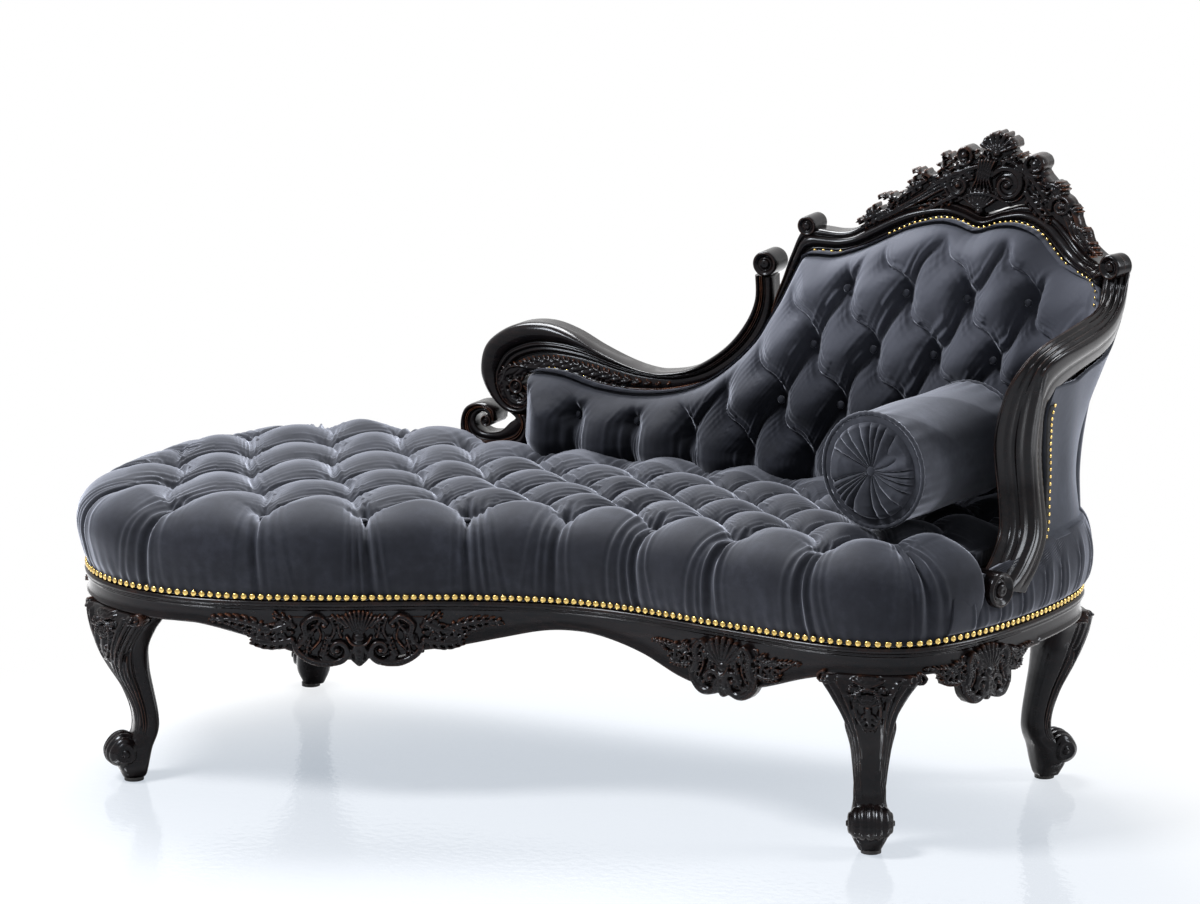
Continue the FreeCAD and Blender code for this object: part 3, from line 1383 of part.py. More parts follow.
for item in doc.Objects:
    if "Invalid" in item.State or "Error" in item.State:
        raise RuntimeError("%s did not recompute" % item.Label)
os.makedirs("parts", exist_ok=True)
for label, part in kept.items():
    if part.Shape.isNull() or not part.Shape.isValid():
        raise RuntimeError("%s has no valid shape" % label)
    part.Shape.exportStep("parts/%s.step" % label)
print("moved by %.2f, %.2f" % (centring.Base.x, centring.Base.y))
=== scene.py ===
import math

import bpy
import numpy as np
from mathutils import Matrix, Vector


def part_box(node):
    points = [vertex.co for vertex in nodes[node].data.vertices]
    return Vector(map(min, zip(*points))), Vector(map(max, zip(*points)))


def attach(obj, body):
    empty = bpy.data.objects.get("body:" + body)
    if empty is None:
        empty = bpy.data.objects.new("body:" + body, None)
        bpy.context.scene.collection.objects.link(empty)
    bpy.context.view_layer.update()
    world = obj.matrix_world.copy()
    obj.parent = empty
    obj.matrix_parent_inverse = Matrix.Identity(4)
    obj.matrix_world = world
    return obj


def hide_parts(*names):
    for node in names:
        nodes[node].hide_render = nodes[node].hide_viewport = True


# Looks of a tufted chaise longue: velvet upholstery, ebonised carved show wood, brass nails.
# Metres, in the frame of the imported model. "run" goes along the shell, the line of the back and
# arm seen from above, clockwise from under the big scroll; "rise" is height over the seat rail;
# "out" is how far a place stands outside the shell.

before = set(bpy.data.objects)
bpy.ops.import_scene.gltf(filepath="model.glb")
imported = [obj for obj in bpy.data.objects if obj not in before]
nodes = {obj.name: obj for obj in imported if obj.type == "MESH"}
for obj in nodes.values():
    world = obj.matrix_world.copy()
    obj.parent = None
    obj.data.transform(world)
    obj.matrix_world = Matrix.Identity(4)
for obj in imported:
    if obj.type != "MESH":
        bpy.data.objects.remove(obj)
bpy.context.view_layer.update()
detail = 1.0
TAU = 2.0 * math.pi
UP = np.array([0.0, 0.0, 1.0])

# Frame and its rails
frame_length = 1.582
frame_depth = 0.773
rail_top = 0.333
apron_drop = 0.100
rail_deep = 0.042
leg_width = 0.078
leg_depth = 0.070
leg_inset = 0.034

# Shell of the back and arm
back_rise = 0.702
shell_in = 0.025
rail_half = 0.024
back_lean = 0.10
arm_flare = 0.066
back_end = 0.641 * frame_length

# Seat
deck_top = 0.3575
row_count = 5
tuft_pitch = 0.150
first_column = 0.333
seat_back_in = 0.052

# Padding of the back and arm
back_pitch = 0.106
back_row = 0.095
pad_back = 0.015
pad_edge = 0.003
back_pad = 0.104
arm_pad = 0.017
pad_low = 0.112
pad_round = 0.070
pad_tuck = 0.020
pad_bend = 0.12

# Folds of the velvet between its buttons
fold_lean = 0.11
tuft_puff = 0.07
lip_place = 0.0062
lip_width = 0.0042
small_fold_step = 0.0092
small_fold_width = 0.0034
crease_pitch = 0.0085
crease_reach = 0.013
gather_depth = 0.0016
button_pit = 0.016
pit_radius = 0.019

# Nails
nail_pitch = 0.0132
nail_radius = 0.0056
small_nail_pitch = 0.0092
small_nail_radius = 0.0034
arm_nail_pitch = 0.0125


def thousandths(*numbers):
    """Table of two columns, given in thousandths."""
    return np.reshape(numbers, (-1, 2)) / 1000.0


# Seen from above, in shares of the frame's length and depth: the outline, and the lines of
# the first and last rows of buttons
outline_shares = thousandths(
    -158, 386, 126, 386, 379, 386, 442, 362, 484, 272, 494, 103, 480, -78, 455, -233, 414, -349,
    360, -386, 284, -378, 190, -349, 82, -323, -19, -365, -107, -446, -196, -537, -272, -589,
    -354, -603, -436, -537, -477, -440, -499, -298, -506, -78, -487, 149, -436, 291, -360, 365,
)
front_row_shares = thousandths(
    -506, -517, -392, -524, -348, -530, -253, -485, -158, -414, -38, -304, 82, -246, 190, -265,
    284, -291, 379, -304, 474, -304,
)
back_row_shares = thousandths(
    -506, 259, -379, 291, -284, 291, -190, 220, -126, 162, 474, 162,
)
# Lower edge of the front rail: share of the length, share of the drop
apron_shares = thousandths(
    -341, -430, -297, -430, -243, -620, -197, -870, -150, -960, -107, -850, -61, -750, -18, -600,
    21, -460, 51, -420, 84, -460, 131, -640, 178, -920, 223, -1010, 269, -850, 314, -610,
    354, -450,
)
# Roll of the arm: share of the back's rise, share of the flare
flare_shares = thousandths(
    10, 0, 95, 0, 181, -90, 266, -180, 352, -120, 437, 90, 523, 420, 608, 790, 665, 910, 751, 1000,
)
# Lines on the shell, as shares of the frame's length and the back's rise
upholstery_shares = thousandths(
    6, 356, 21, 363, 49, 359, 85, 339, 132, 332, 178, 346, 212, 376, 240, 422, 266, 483, 281, 540,
    293, 587, 302, 630, 310, 668, 317, 692, 331, 697, 349, 697, 366, 708, 384, 724, 415, 759,
    434, 778, 462, 794, 482, 790, 502, 777, 525, 793, 547, 796, 567, 780, 582, 744, 595, 716,
    613, 700, 633, 692, 647, 664, 651, 637, 686, 613, 721, 602, 755, 592, 780, 576, 796, 553,
    806, 519, 805, 437, 792, 323, 793, 240,
)
swoop_upper_shares = thousandths(
    257, 634, 258, 575, 247, 514, 224, 452, 188, 400, 154, 383, 131, 386, 107, 400, 76, 426,
    46, 456, 16, 473, -14, 469, -39, 446, -58, 406, -62, 349, -55, 306, -41, 271, -23, 249,
    -4, 255, 5, 285, 1, 318, -12, 326,
)
swoop_lower_shares = thousandths(
    274, 630, 275, 554, 265, 490, 242, 427, 212, 378, 170, 345, 132, 334, 110, 335, 85, 341,
    53, 360, 25, 366, 6, 364, -8, 369, -23, 366, -31, 342, -30, 312, -25, 291, -18, 275, -8, 275,
    -4, 291, -8, 305, -13, 308,
)
curl_outer_shares = thousandths(
    -2, 249.5, 2, 218, -5, 175, -29, 161, -59, 161, -79, 181, -83, 217, -77, 254, -59, 268,
    -42, 254, -40, 226,
)
curl_inner_shares = thousandths(
    -24, 249.5, -17, 238, -24, 224, -35, 202, -52, 195, -63, 204, -66, 219, -64, 236, -58, 245,
    -52, 241, -50, 228,
)
crest_upper_shares = thousandths(
    277, 552, 281, 589, 288, 634, 296, 690, 307, 745, 323, 751, 345, 748, 361, 754, 377, 774,
    409, 811, 430, 828, 461, 839, 484, 829, 506, 813, 529, 830, 553, 842, 580, 819, 591, 796,
    607, 759, 623, 744, 652, 741,
)
crest_lower_shares = thousandths(
    281, 542, 293, 589, 302, 632, 310, 670, 317, 695, 331, 700, 349, 700, 367, 711, 385, 728,
    415, 763, 436, 782, 462, 797, 482, 793, 502, 780, 525, 796, 547, 799, 567, 783, 582, 747,
    595, 719, 613, 703, 640, 690,
)
arm_inner_front_shares = thousandths(
    655, 740, 665, 687, 689, 665, 726, 655, 764, 642, 795, 625, 819, 594, 833, 533, 829, 437,
    815, 316, 818, 226, 841, 160, 865, 117,
)
arm_outer_front_shares = thousandths(
    655, 740, 670, 677, 695, 642, 727, 625, 759, 614, 790, 601, 808, 574, 803, 521, 790, 433,
    776, 312, 782, 202, 812, 138, 841, 95,
)
arm_inner_back_shares = thousandths(
    642, 690, 651, 640, 686, 616, 721, 605, 755, 595, 781, 579, 798, 556, 808, 519, 807, 437,
    794, 323, 795, 224, 815, 147, 844, 84,
)
arm_outer_back_shares = thousandths(
    642, 688, 651, 597, 686, 563, 721, 548, 749, 531, 771, 509, 779, 483, 776, 452, 765, 395,
    753, 302, 760, 195, 786, 131, 815, 78,
)
carving_upper_shares = thousandths(
    355, 764, 381, 796, 405, 823, 415, 868, 438, 893, 448, 920, 470, 927, 475, 957, 491, 960,
    501, 980, 516, 1000, 533, 989, 542, 963, 561, 954, 570, 933, 571, 905, 583, 893, 589, 872,
    597, 848, 611, 811, 623, 779, 645, 759,
)
carving_lower_shares = thousandths(
    347, 753, 372, 771, 395, 795, 410, 814, 429, 830, 443, 835, 460, 841, 471, 837, 483, 831,
    496, 823, 506, 817, 519, 824, 530, 834, 544, 842, 556, 844, 565, 838, 576, 825, 583, 813,
    591, 798, 601, 776, 614, 754, 632, 744,
)
# Runs, as shares of the frame's length, where the seat's edge steps in for the back and out again
step_in_shares = (-0.078, -0.026)
step_out_shares = (0.846, 0.876)


def between(low, high, share):
    """Value at a share of the way from low to high."""
    return low + (high - low) * share


def smooth(share):
    """0 below 0, 1 above 1, and 3s^2 - 2s^3 between."""
    share = np.clip(share, 0.0, 1.0)
    return share * share * (3.0 - 2.0 * share)


def fine(count):
    return int(count * detail)


def look_up(table, place):
    """Value of a table of two columns at a place."""
    return np.interp(place, *np.transpose(table))


def unit(vectors):
    """The same directions with a length of 1."""
    return vectors / np.maximum(np.linalg.norm(vectors, axis=-1, keepdims=True), 1e-9)


def bell(offset, wide):
    """Round hump: 1 in the middle, less than 0.4 from a width away."""
    return np.exp(-(offset / wide) ** 2)


def half_round(offset):
    """Height of a half round of radius 1, nought beyond its edges."""
    return np.sqrt(np.clip(1.0 - offset ** 2, 0.0, 1.0))


def heading(angle):
    """Flat direction at an angle."""
    return np.array([math.cos(angle), math.sin(angle)])


def full_turn(count):
    """Angles of one turn in equal steps."""
    return np.linspace(0.0, TAU, count + 1)[:-1]


def circle(side, up, turn):
    """Points of a unit circle in the plane of two directions, one for each angle."""
    return side * np.cos(turn)[:, None] + up * np.sin(turn)[:, None]


def curve_through(points, per_span):
    """Catmull-Rom curve: each span is a cubic whose end slopes are half the chord between
    the points on either side."""
    p = np.asarray(points, float)
    padded = np.vstack([p[:1], p, p[-1:]])
    u = (np.arange(per_span) / per_span)[None, :, None]
    line = (padded[:-3, None] * (u ** 2 - 0.5 * u ** 3 - 0.5 * u)
            + padded[1:-2, None] * (1.5 * u ** 3 - 2.5 * u ** 2 + 1.0)
            + padded[2:-1, None] * (2.0 * u ** 2 - 1.5 * u ** 3 + 0.5 * u)
            + padded[3:, None] * (0.5 * u ** 3 - 0.5 * u ** 2))
    return np.vstack([line.reshape(-1, p.shape[1]), p[-1:]])


def even(points, count):
    """Points moved to equal steps along their own broken line."""
    lengths = np.concatenate([[0.0], np.cumsum(np.linalg.norm(np.diff(points, axis=0), axis=1))])
    places = np.linspace(0.0, lengths[-1], count)
    return np.stack([np.interp(places, lengths, column) for column in points.T], axis=1)


def closed_spline(points, count):
    """Closed curve of cubic spans with equal slope and curvature where they meet, sampled at
    equal steps of the chord length. The slopes solve one linear system."""
    p = np.asarray(points, float)
    n = len(p)
    chord = np.linalg.norm(np.roll(p, -1, axis=0) - p, axis=1)
    before = np.roll(chord, 1)
    rate = (np.roll(p, -1, axis=0) - p) / chord[:, None]
    same = np.eye(n)
    system = (same * (2.0 * (before + chord))[:, None]
              + np.roll(same, -1, axis=1) * chord[:, None]
              + np.roll(same, 1, axis=1) * before[:, None])
    right = 3.0 * (chord[:, None] * np.roll(rate, 1, axis=0) + before[:, None] * rate)
    slope = np.linalg.solve(system, right)
    starts = np.concatenate([[0.0], np.cumsum(chord)])
    t = np.arange(count) / count * starts[-1]
    i = np.clip(np.searchsorted(starts, t, side="right") - 1, 0, n - 1)
    k = (i + 1) % n
    h = chord[i][:, None]
    s = ((t - starts[i]) / chord[i])[:, None]
    return (p[i] * (2 * s ** 3 - 3 * s ** 2 + 1) + p[k] * (3 * s ** 2 - 2 * s ** 3)
            + slope[i] * h * (s ** 3 - 2 * s ** 2 + s) + slope[k] * h * (s ** 3 - s ** 2))


outline = closed_spline(outline_shares * (frame_length, frame_depth), 3600)
outline_along = unit(np.roll(outline, -1, axis=0) - np.roll(outline, 1, axis=0))
outline_outward = np.stack([-outline_along[:, 1], outline_along[:, 0]], axis=1)
shell_places = outline - outline_outward * shell_in
shell_steps = np.linalg.norm(np.roll(shell_places, -1, axis=0) - shell_places, axis=1)
shell_runs = np.concatenate([[0.0], np.cumsum(shell_steps)])
whole_run = shell_runs[-1]
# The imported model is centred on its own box, so its nail ring says how far that moved it.
ring_low, ring_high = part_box("seat_nail_trim")
shift_x = (ring_low.x + ring_high.x) / 2.0 - (outline[:, 0].min() + outline[:, 0].max()) / 2.0
shift_y = (ring_low.y + ring_high.y) / 2.0 - (outline[:, 1].min() + outline[:, 1].max()) / 2.0
shift = np.array([shift_x, shift_y, 0.0])


def station(run):
    """Place on the frame outline and outward direction at a run, as two arrays of x and y."""
    run = np.mod(run, whole_run)
    closed = [np.vstack([table, table[:1]]) for table in (outline, outline_outward)]
    place, outward = [np.stack([np.interp(run, shell_runs, column) for column in table.T], axis=-1)
                      for table in closed]
    return place, unit(outward)


def level(outward):
    """Directions seen from above as level directions in space."""
    return np.concatenate([outward, np.zeros_like(outward[..., :1])], axis=-1)


def frame_point(run, inset, height):
    """Point inside the frame outline by an inset, at a height."""
    run, inset, height = np.broadcast_arrays(run, inset, height)
    place, outward = station(run)
    flat = place - outward * inset[..., None]
    return np.concatenate([flat, height[..., None]], axis=-1) + shift


flare_curve = curve_through(flare_shares, 12)


def shell_point(run, rise, out):
    """Point of the back and arm. Behind, the shell leans by a tenth of the rise; round the
    corner it changes to the arm's roll, by the turn of the outline."""
    run, rise, out = np.broadcast_arrays(run, rise, out)
    place, outward = station(run)
    swing = np.clip(np.arctan2(outward[..., 0], outward[..., 1]) / (math.pi / 2.0), 0.0, 1.0)
    swing = np.where(run < 0.0, 0.0, swing)
    late = smooth((run - whole_run / 4.0) / shell_in)
    swing = np.where(run > whole_run / 4.0, np.maximum(swing, late), swing)
    weight = smooth(swing)
    flare = arm_flare * np.interp(rise / back_rise, flare_curve[:, 0], flare_curve[:, 1])
    offset = between(back_lean * rise, flare, weight) + out - shell_in
    flat = place + outward * offset[..., None]
    return np.concatenate([flat, (rail_top + rise)[..., None]], axis=-1) + shift


def shell_line(shares, per_span):
    """Smooth line on the shell through a table of shares: a run and a rise for each point."""
    return curve_through(shares, per_span) * (frame_length, back_rise)


def grid_faces(rows, columns, wrap_rows=False, wrap_columns=False, start=0):
    """Four-cornered faces of a grid of points, as an array of corner numbers."""
    i, k = np.meshgrid(np.arange(rows if wrap_rows else rows - 1),
                       np.arange(columns if wrap_columns else columns - 1), indexing="ij")
    next_i, next_k = (i + 1) % rows, (k + 1) % columns
    corners = [i * columns + k, i * columns + next_k, next_i * columns + next_k,
               next_i * columns + k]
    return np.stack(corners, axis=-1).reshape(-1, 4) + start


def fan_faces(ring, middle):
    """Three-cornered faces from a closed ring of point numbers to one middle point."""
    return np.stack([ring, np.roll(ring, -1), np.full(len(ring), middle)], axis=1)


def signed_volume(points, faces):
    """Six times the volume inside the faces, negative when they point inwards."""
    first = points[faces[:, 0]]
    total = np.sum(first * np.cross(points[faces[:, 1]], points[faces[:, 2]]))
    if faces.shape[1] == 4:
        total += np.sum(first * np.cross(points[faces[:, 2]], points[faces[:, 3]]))
    return total


def make_piece(name, forms, material, body="root", wear=False):
    """Mesh object of closed forms, smooth shaded, that rides on its body. A form is its points
    and its sets of faces, which are turned outwards here."""
    all_points, all_faces, count = [], [], 0
    for points, face_sets in forms:
        points = points.reshape(-1, 3)
        from_middle = points - points.mean(axis=0)
        volume = sum(signed_volume(from_middle, faces) for faces in face_sets)
        for faces in face_sets:
            outwards = faces if volume > 0.0 else faces[:, ::-1]
            all_faces.extend((outwards + count).tolist())
        all_points.append(points)
        count += len(points)
    points = np.vstack(all_points)
    mesh = bpy.data.meshes.new(name)
    mesh.from_pydata(points.tolist(), [], all_faces)
    mesh.polygons.foreach_set("use_smooth", np.ones(len(mesh.polygons), bool))
    mesh.validate()
    mesh.update()
    if wear:
        add_wear(mesh, points)
    mesh.materials.append(material)
    piece = bpy.data.objects.new(name, mesh)
    bpy.context.scene.collection.objects.link(piece)
    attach(piece, body)
    return piece


def wooden(name, forms, wood):
    """Piece of show wood, with its wear."""
    return make_piece(name, forms, wood, wear=True)


wear_passes = 2
wear_full = 6.0


def add_wear(mesh, points):
    """Attribute "wear": how sharply the surface turns outwards at each point, from the mean of
    the neighbours' directions against the point's normal."""
    count = len(points)
    edges = np.zeros(len(mesh.edges) * 2, np.int32)
    mesh.edges.foreach_get("vertices", edges)
    a, b = edges.reshape(-1, 2).T
    normals = np.zeros(count * 3)
    mesh.vertices.foreach_get("normal", normals)
    normals = normals.reshape(-1, 3)
    away = points[b] - points[a]
    length = np.maximum(np.linalg.norm(away, axis=1), 1e-6)
    bend, near = np.zeros(count), np.zeros(count)
    for end, sign in ((a, -1.0), (b, 1.0)):
        np.add.at(bend, end, sign * np.sum(normals[end] * away, axis=1) / length ** 1.5)
        np.add.at(near, end, 1.0)
    bend = bend / np.maximum(near, 1.0)
    for _ in range(wear_passes):
        total, weight = bend.copy(), np.ones(count)
        for end, other in ((a, b), (b, a)):
            np.add.at(total, end, bend[other])
            np.add.at(weight, end, 1.0)
        bend = total / weight
    attribute = mesh.attributes.new("wear", "FLOAT", "POINT")
    attribute.data.foreach_set("value", np.clip(bend / wear_full, 0.0, 1.0).astype(np.float32))


def tube(rings, wrap=False, flat=False):
    """Points and faces of a skin over closed rings, capped unless it wraps. A flat tube has two
    sides of equal length, and its caps join them side to side."""
    count, around = rings.shape[:2]
    points = rings.reshape(-1, 3)
    sides = grid_faces(count, around, wrap_rows=wrap, wrap_columns=True)
    if wrap:
        return points, [sides]
    last = (count - 1) * around
    if flat:
        k = np.arange(around // 2 - 1)
        cap = np.stack([k, k + 1, around - 2 - k, around - 1 - k], axis=1)
        return points, [sides, cap[:, ::-1], cap + last]
    first, end = len(points), len(points) + 1
    points = np.vstack([points, rings[0].mean(axis=0), rings[-1].mean(axis=0)])
    return points, [sides, fan_faces(np.arange(around)[::-1], first),
                    fan_faces(np.arange(around) + last, end)]


def pillow(a, b):
    """Tuft between four buttons, from |sin(pi a) sin(pi b)| and its root: nought on the folds."""
    swell = np.abs(np.sin(math.pi * a) * np.sin(math.pi * b))
    return 0.66 * np.sqrt(swell) + 0.34 * swell


def chance(a, b, seed):
    """Fixed scatter from -1 to 1 for a pair of whole numbers."""
    value = np.sin(a * 127.1 + b * 311.7 + seed * 74.7) * 43758.5453
    return 2.0 * (value - np.floor(value)) - 1.0


def tuft_relief(a, b, across, up, spread, depth, lip, fold):
    """How far velvet lies under its fullest height. "across" and "up" are metres from the
    nearest button and spread is metres per whole step of a or b. Each fold is a sharp valley
    with a rounded lip on one side and finer folds beside it; gathers run out of the button.
    Folds lean and tufts swell by small fixed amounts that differ from one to the next."""
    lean_a = fold_lean * chance(np.round(a), np.floor(b), 21.0)
    lean_b = fold_lean * chance(np.round(b), np.floor(a), 22.0)
    puff = 1.0 + tuft_puff * chance(np.floor(a), np.floor(b), 31.0)
    a, b = (a + lean_a * (np.sin(math.pi * b) * np.cos(math.pi * a)) ** 2,
            b + lean_b * (np.sin(math.pi * a) * np.cos(math.pi * b)) ** 2)
    step_a, step_b = np.round(a), np.round(b)
    reach = np.hypot(across, up)
    sink = depth * (1.0 - puff * pillow(a, b))
    near = bell(reach, 0.80 * spread)
    free = smooth((reach - 0.010) / 0.020)
    for off, other, seed, side in (((a - step_a) * spread, step_b, 1, 1.0),
                                   ((b - step_b) * spread, step_a, 2, -1.0)):
        scatter = 1.0 + 0.35 * chance(step_a, other, seed)
        ridge = bell(side * off - lip_place * scatter, lip_width)
        sink = sink - lip * ridge * free * scatter
        for n in (1.0, 2.0):
            fold_place = (lip_place + small_fold_step * n) * scatter
            here = np.maximum(0.0, chance(step_a + n, other, seed + 5.0)) * 1.2
            ridge = bell(side * off - fold_place, small_fold_width)
            sink = sink - here / n * lip * free * near * ridge
        wave = np.cos(TAU * (off / (crease_pitch * scatter)))
        sink = sink - fold * (wave * np.exp(-np.abs(off) / crease_reach)) * near * free
    angle = np.arctan2(up, across) * 9.0 + 3.0 * chance(step_a, step_b, 3)
    gathers = np.cos(angle) * np.exp(-reach / 0.020) * smooth(reach / 0.012)
    return sink - gather_depth * gathers + button_pit * bell(reach, pit_radius)


def step_in(run):
    """1 behind the back and arm, 0 at the open front and foot."""
    share, whole = run / frame_length, whole_run / frame_length
    low, high = step_in_shares
    rise = smooth((share - whole - low) / (high - low))
    low, high = step_out_shares
    return np.where(share > whole / 2.0, rise, 1.0 - smooth((share - low) / (high - low)))


def seat_lattice(x, y):
    """Column and row of the seat's buttons at a place, the row also beyond the last button."""
    front = look_up(front_row_shares, x / frame_length) * frame_depth
    back = look_up(back_row_shares, x / frame_length) * frame_depth
    return x / tuft_pitch - first_column, row_count * (y - front) / (back - front), back - front


pleat_depth = 0.0085
pleat_width = 0.0045
pleat_lean = 0.014
# Lips of cloth beside a pleat: offset, width, height, and how far each wanders on its way down
pleat_lips = (
    (0.0068, 0.0036, 0.0040, 0.004), (-0.0080, 0.0040, 0.0030, -0.006),
    (0.0160, 0.0034, 0.0026, 0.012), (0.0260, 0.0036, 0.0018, 0.022),
    (-0.0190, 0.0034, 0.0018, -0.016),
)


def side_pleats(runs, rim, loose, climb):
    """Pleats down the seat's side below each button of the edge: a sharp valley between lips of
    velvet folded over one another, spreading out towards the nails."""
    kernel = np.hanning(fine(41) | 1)
    reach = len(kernel) // 2
    even_rim = np.convolve(np.concatenate([rim[-reach:], rim, rim[:reach]]),
                           kernel / kernel.sum(), "valid")
    top = (even_rim > np.roll(even_rim, 1)) & (even_rim >= np.roll(even_rim, -1))
    sink = np.zeros((len(runs), climb.size))
    high = 0.30 + 0.70 * climb ** 0.8
    drop = 1.0 - climb
    for k in np.flatnonzero(top & loose & (even_rim > 0.012)):
        away = np.mod(runs - runs[k] + whole_run / 2.0, whole_run) - whole_run / 2.0
        turn = 1.0 if chance(k, 3.0, 5.0) > -0.2 else -1.0
        line = away[:, None] - pleat_lean * chance(k, 1.0, 2.0) * drop ** 1.4
        size = 1.0 + 0.35 * chance(k, 9.0, 4.0)
        sink = sink + pleat_depth * high * bell(line, pleat_width)
        for n, (offset, wide, tall, spread) in enumerate(pleat_lips):
            fold = line - turn * (offset + spread * drop) * (1.0 + 0.2 * chance(k, n, 7.0))
            tall_here = tall * size * high * (1.0 + 0.5 * chance(k, n, 11.0))
            sink = sink - tall_here * bell(fold, wide)
            sink = sink + 0.8 * tall_here * bell(fold - turn * 1.9 * wide, wide)
    gather = 0.0010 * np.cos(TAU * runs / 0.0193 + 2.0 * np.sin(runs * 23.0))
    return sink + gather[:, None] * np.exp(-climb / 0.16)


# Seat's side and shoulder: inset from the outline, height
seat_profile = (
    (0.004, 0.334), (0.000, 0.338), (0.000, 0.345), (-0.007, 0.361), (-0.0128, 0.3834),
    (-0.016, 0.400), (-0.0165, 0.4146), (-0.013, 0.4321), (-0.0068, 0.4443), (0.005, 0.4570),
    (0.022, 0.4684), (0.042, 0.4768), (0.064, 0.4824), (0.095, 0.485),
)
# Share of the tufting that shows at a share of the climb up the seat's side
seat_weights = ((0, 0.0), (0.08, 0.05), (0.40, 0.20), (0.62, 0.36), (0.85, 0.80), (1.0, 1.0))
spine_share = 0.80
fold_bend = 0.07
# Tufts: metres per step of the lattice, depth, height of a lip, height of the small folds
seat_tufts = (0.118, 0.027, 0.0032, 0.0020)
back_tufts = (0.092, 0.043, 0.0052, 0.0030)


def seat_rings(runs, side_rows, top_rows):
    """Seat before it is tufted: columns of places that climb the side from the nails and close
    towards a spine along the middle."""
    step = step_in(runs)[:, None]
    inset, climb = even(curve_through(seat_profile, 8), side_rows + 1).T[:, None]
    inset = seat_back_in * step + np.where(inset < 0.0, inset * (1.0 - step), inset)
    low = between(rail_top + 0.001, deck_top, smooth(step * 3.0))
    side = frame_point(runs[:, None], inset, np.maximum(climb, low)) - shift
    inner = side[:, -1]
    middle = 0.5 * (inner + inner[-np.arange(len(runs))])
    middle[:, 0] *= spine_share
    share = np.linspace(0.0, 1.0, top_rows + 1)[1:, None]
    top = between(inner[:, None], middle[:, None], share[None])
    return np.concatenate([side, top], axis=1)


def seat_tufting(base, side_rows, frozen):
    """How far the tufts let the velvet sink. The rows under the frozen one go on with its
    tufting, drawn out downwards."""
    where = base.copy()
    where[:, :frozen] = base[:, frozen:frozen + 1]
    column, row, deep = seat_lattice(where[..., 0], where[..., 1])
    held = np.clip(row, 0.0, row_count)
    pitch_up = deep / row_count
    a, b = column + held / 2.0, column - held / 2.0
    a, b = (a - fold_bend * np.abs(np.sin(math.pi * b)) * smooth(held),
            b + fold_bend * np.abs(np.sin(math.pi * a)) * smooth(held))
    off_a, off_b = a - np.round(a), b - np.round(b)
    across = (off_a + off_b) / 2.0 * tuft_pitch
    up = (off_a - off_b) * pitch_up + (row - held) * pitch_up
    beyond = np.clip(4.0 * (row - held), -1.0, 1.0)
    down = (frozen + 2 - np.arange(base.shape[1])) / (0.45 * side_rows)
    return tuft_relief(a, b, across, up + beyond * 0.09 * smooth(down), *seat_tufts)


def seat_directions(base, runs, side_rows):
    """Direction that tufts stand in: level out of the frame on the side, upright on top."""
    row = np.arange(base.shape[1])
    along = np.roll(base, -1, axis=0) - np.roll(base, 1, axis=0)
    normal = unit(np.cross(along, np.gradient(base, axis=1)))
    normal = np.where(normal[..., 2:] < 0.0, -normal, normal)
    normal[:, -1] = UP
    on_top = smooth((row - side_rows * 0.7) / (side_rows * 0.3))[None, :, None]
    normal = unit(between(normal, UP, on_top))
    upper = smooth((row / side_rows - 0.22) / 0.36)[None, :, None]
    return unit(between(level(station(runs)[1])[:, None], normal, upper))


def seat_velvet(velvet):
    """Seat cover, pressed in along the folds between its buttons and pleated down its side."""
    half, side_rows, top_rows = fine(750), fine(58), fine(90)
    frozen = int(side_rows * 0.86)
    foot_run = shell_runs[np.argmin(outline[:, 0])]
    head_run = shell_runs[np.argmax(outline[:, 0])]
    back_runs = np.linspace(foot_run, whole_run + head_run, half + 1)
    front_runs = np.linspace(foot_run, head_run, half + 1)
    runs = np.mod(np.concatenate([back_runs, front_runs[-2:0:-1]]), whole_run)
    base = seat_rings(runs, side_rows, top_rows)
    count, rows = base.shape[:2]
    relief = seat_tufting(base, side_rows, frozen)
    step = step_in(runs)
    climb = np.arange(rows)[None] / frozen
    pleats = side_pleats(runs, relief[:, frozen], step < 0.5, np.minimum(climb, 1.0))
    sink = (relief * look_up(seat_weights, np.arange(rows) / side_rows)
            + pleats * smooth((1.30 - climb) / 0.30))
    points = base - seat_directions(base, runs, side_rows) * sink[..., None] + shift
    # The two halves share the points of the spine, and a skirt closes the cover under its edge.
    index = np.arange(count * rows).reshape(count, rows)
    index[half + 1:, -1] = index[-np.arange(half + 1, count), -1]
    following = np.roll(index, -1, axis=0)
    faces = np.stack([index[:, :-1], following[:, :-1], following[:, 1:], index[:, 1:]], axis=-1)
    lower = frame_point(runs, seat_back_in * step + 0.02, deck_top) - shift
    points = np.vstack([points.reshape(-1, 3), lower + shift, lower.mean(axis=0) + shift])
    ring = count * rows + np.arange(count)
    skirt = np.stack([index[:, 0], ring, np.roll(ring, -1), following[:, 0]], axis=-1)
    face_sets = [np.vstack([faces.reshape(-1, 4), skirt]), fan_faces(ring[::-1], ring[-1] + 1)]
    cover = make_piece("seat_velvet", [(points, face_sets)], velvet)
    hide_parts("seat_cover")


def pad_fullness(run):
    """Depth of the padding at a run: deep in the back, thin inside the arm."""
    return between(back_pad, arm_pad, smooth((run / frame_length - 0.54) / 0.11))


def pad_lattice(run, rise):
    """Column and row of the back's buttons at a place on the shell."""
    row_shift = back_row * 0.36 * (1.0 - smooth((run / frame_length - 0.14) / 0.16))
    column = run / back_pitch - (0.12 + 0.25 * np.maximum(0.0, rise / back_rise - 0.64))
    return column, (rise - row_shift - 0.50 * back_rise) / back_row


pad_line = upholstery_shares * (frame_length, back_rise)
pad_curve = curve_through(pad_line, 6)


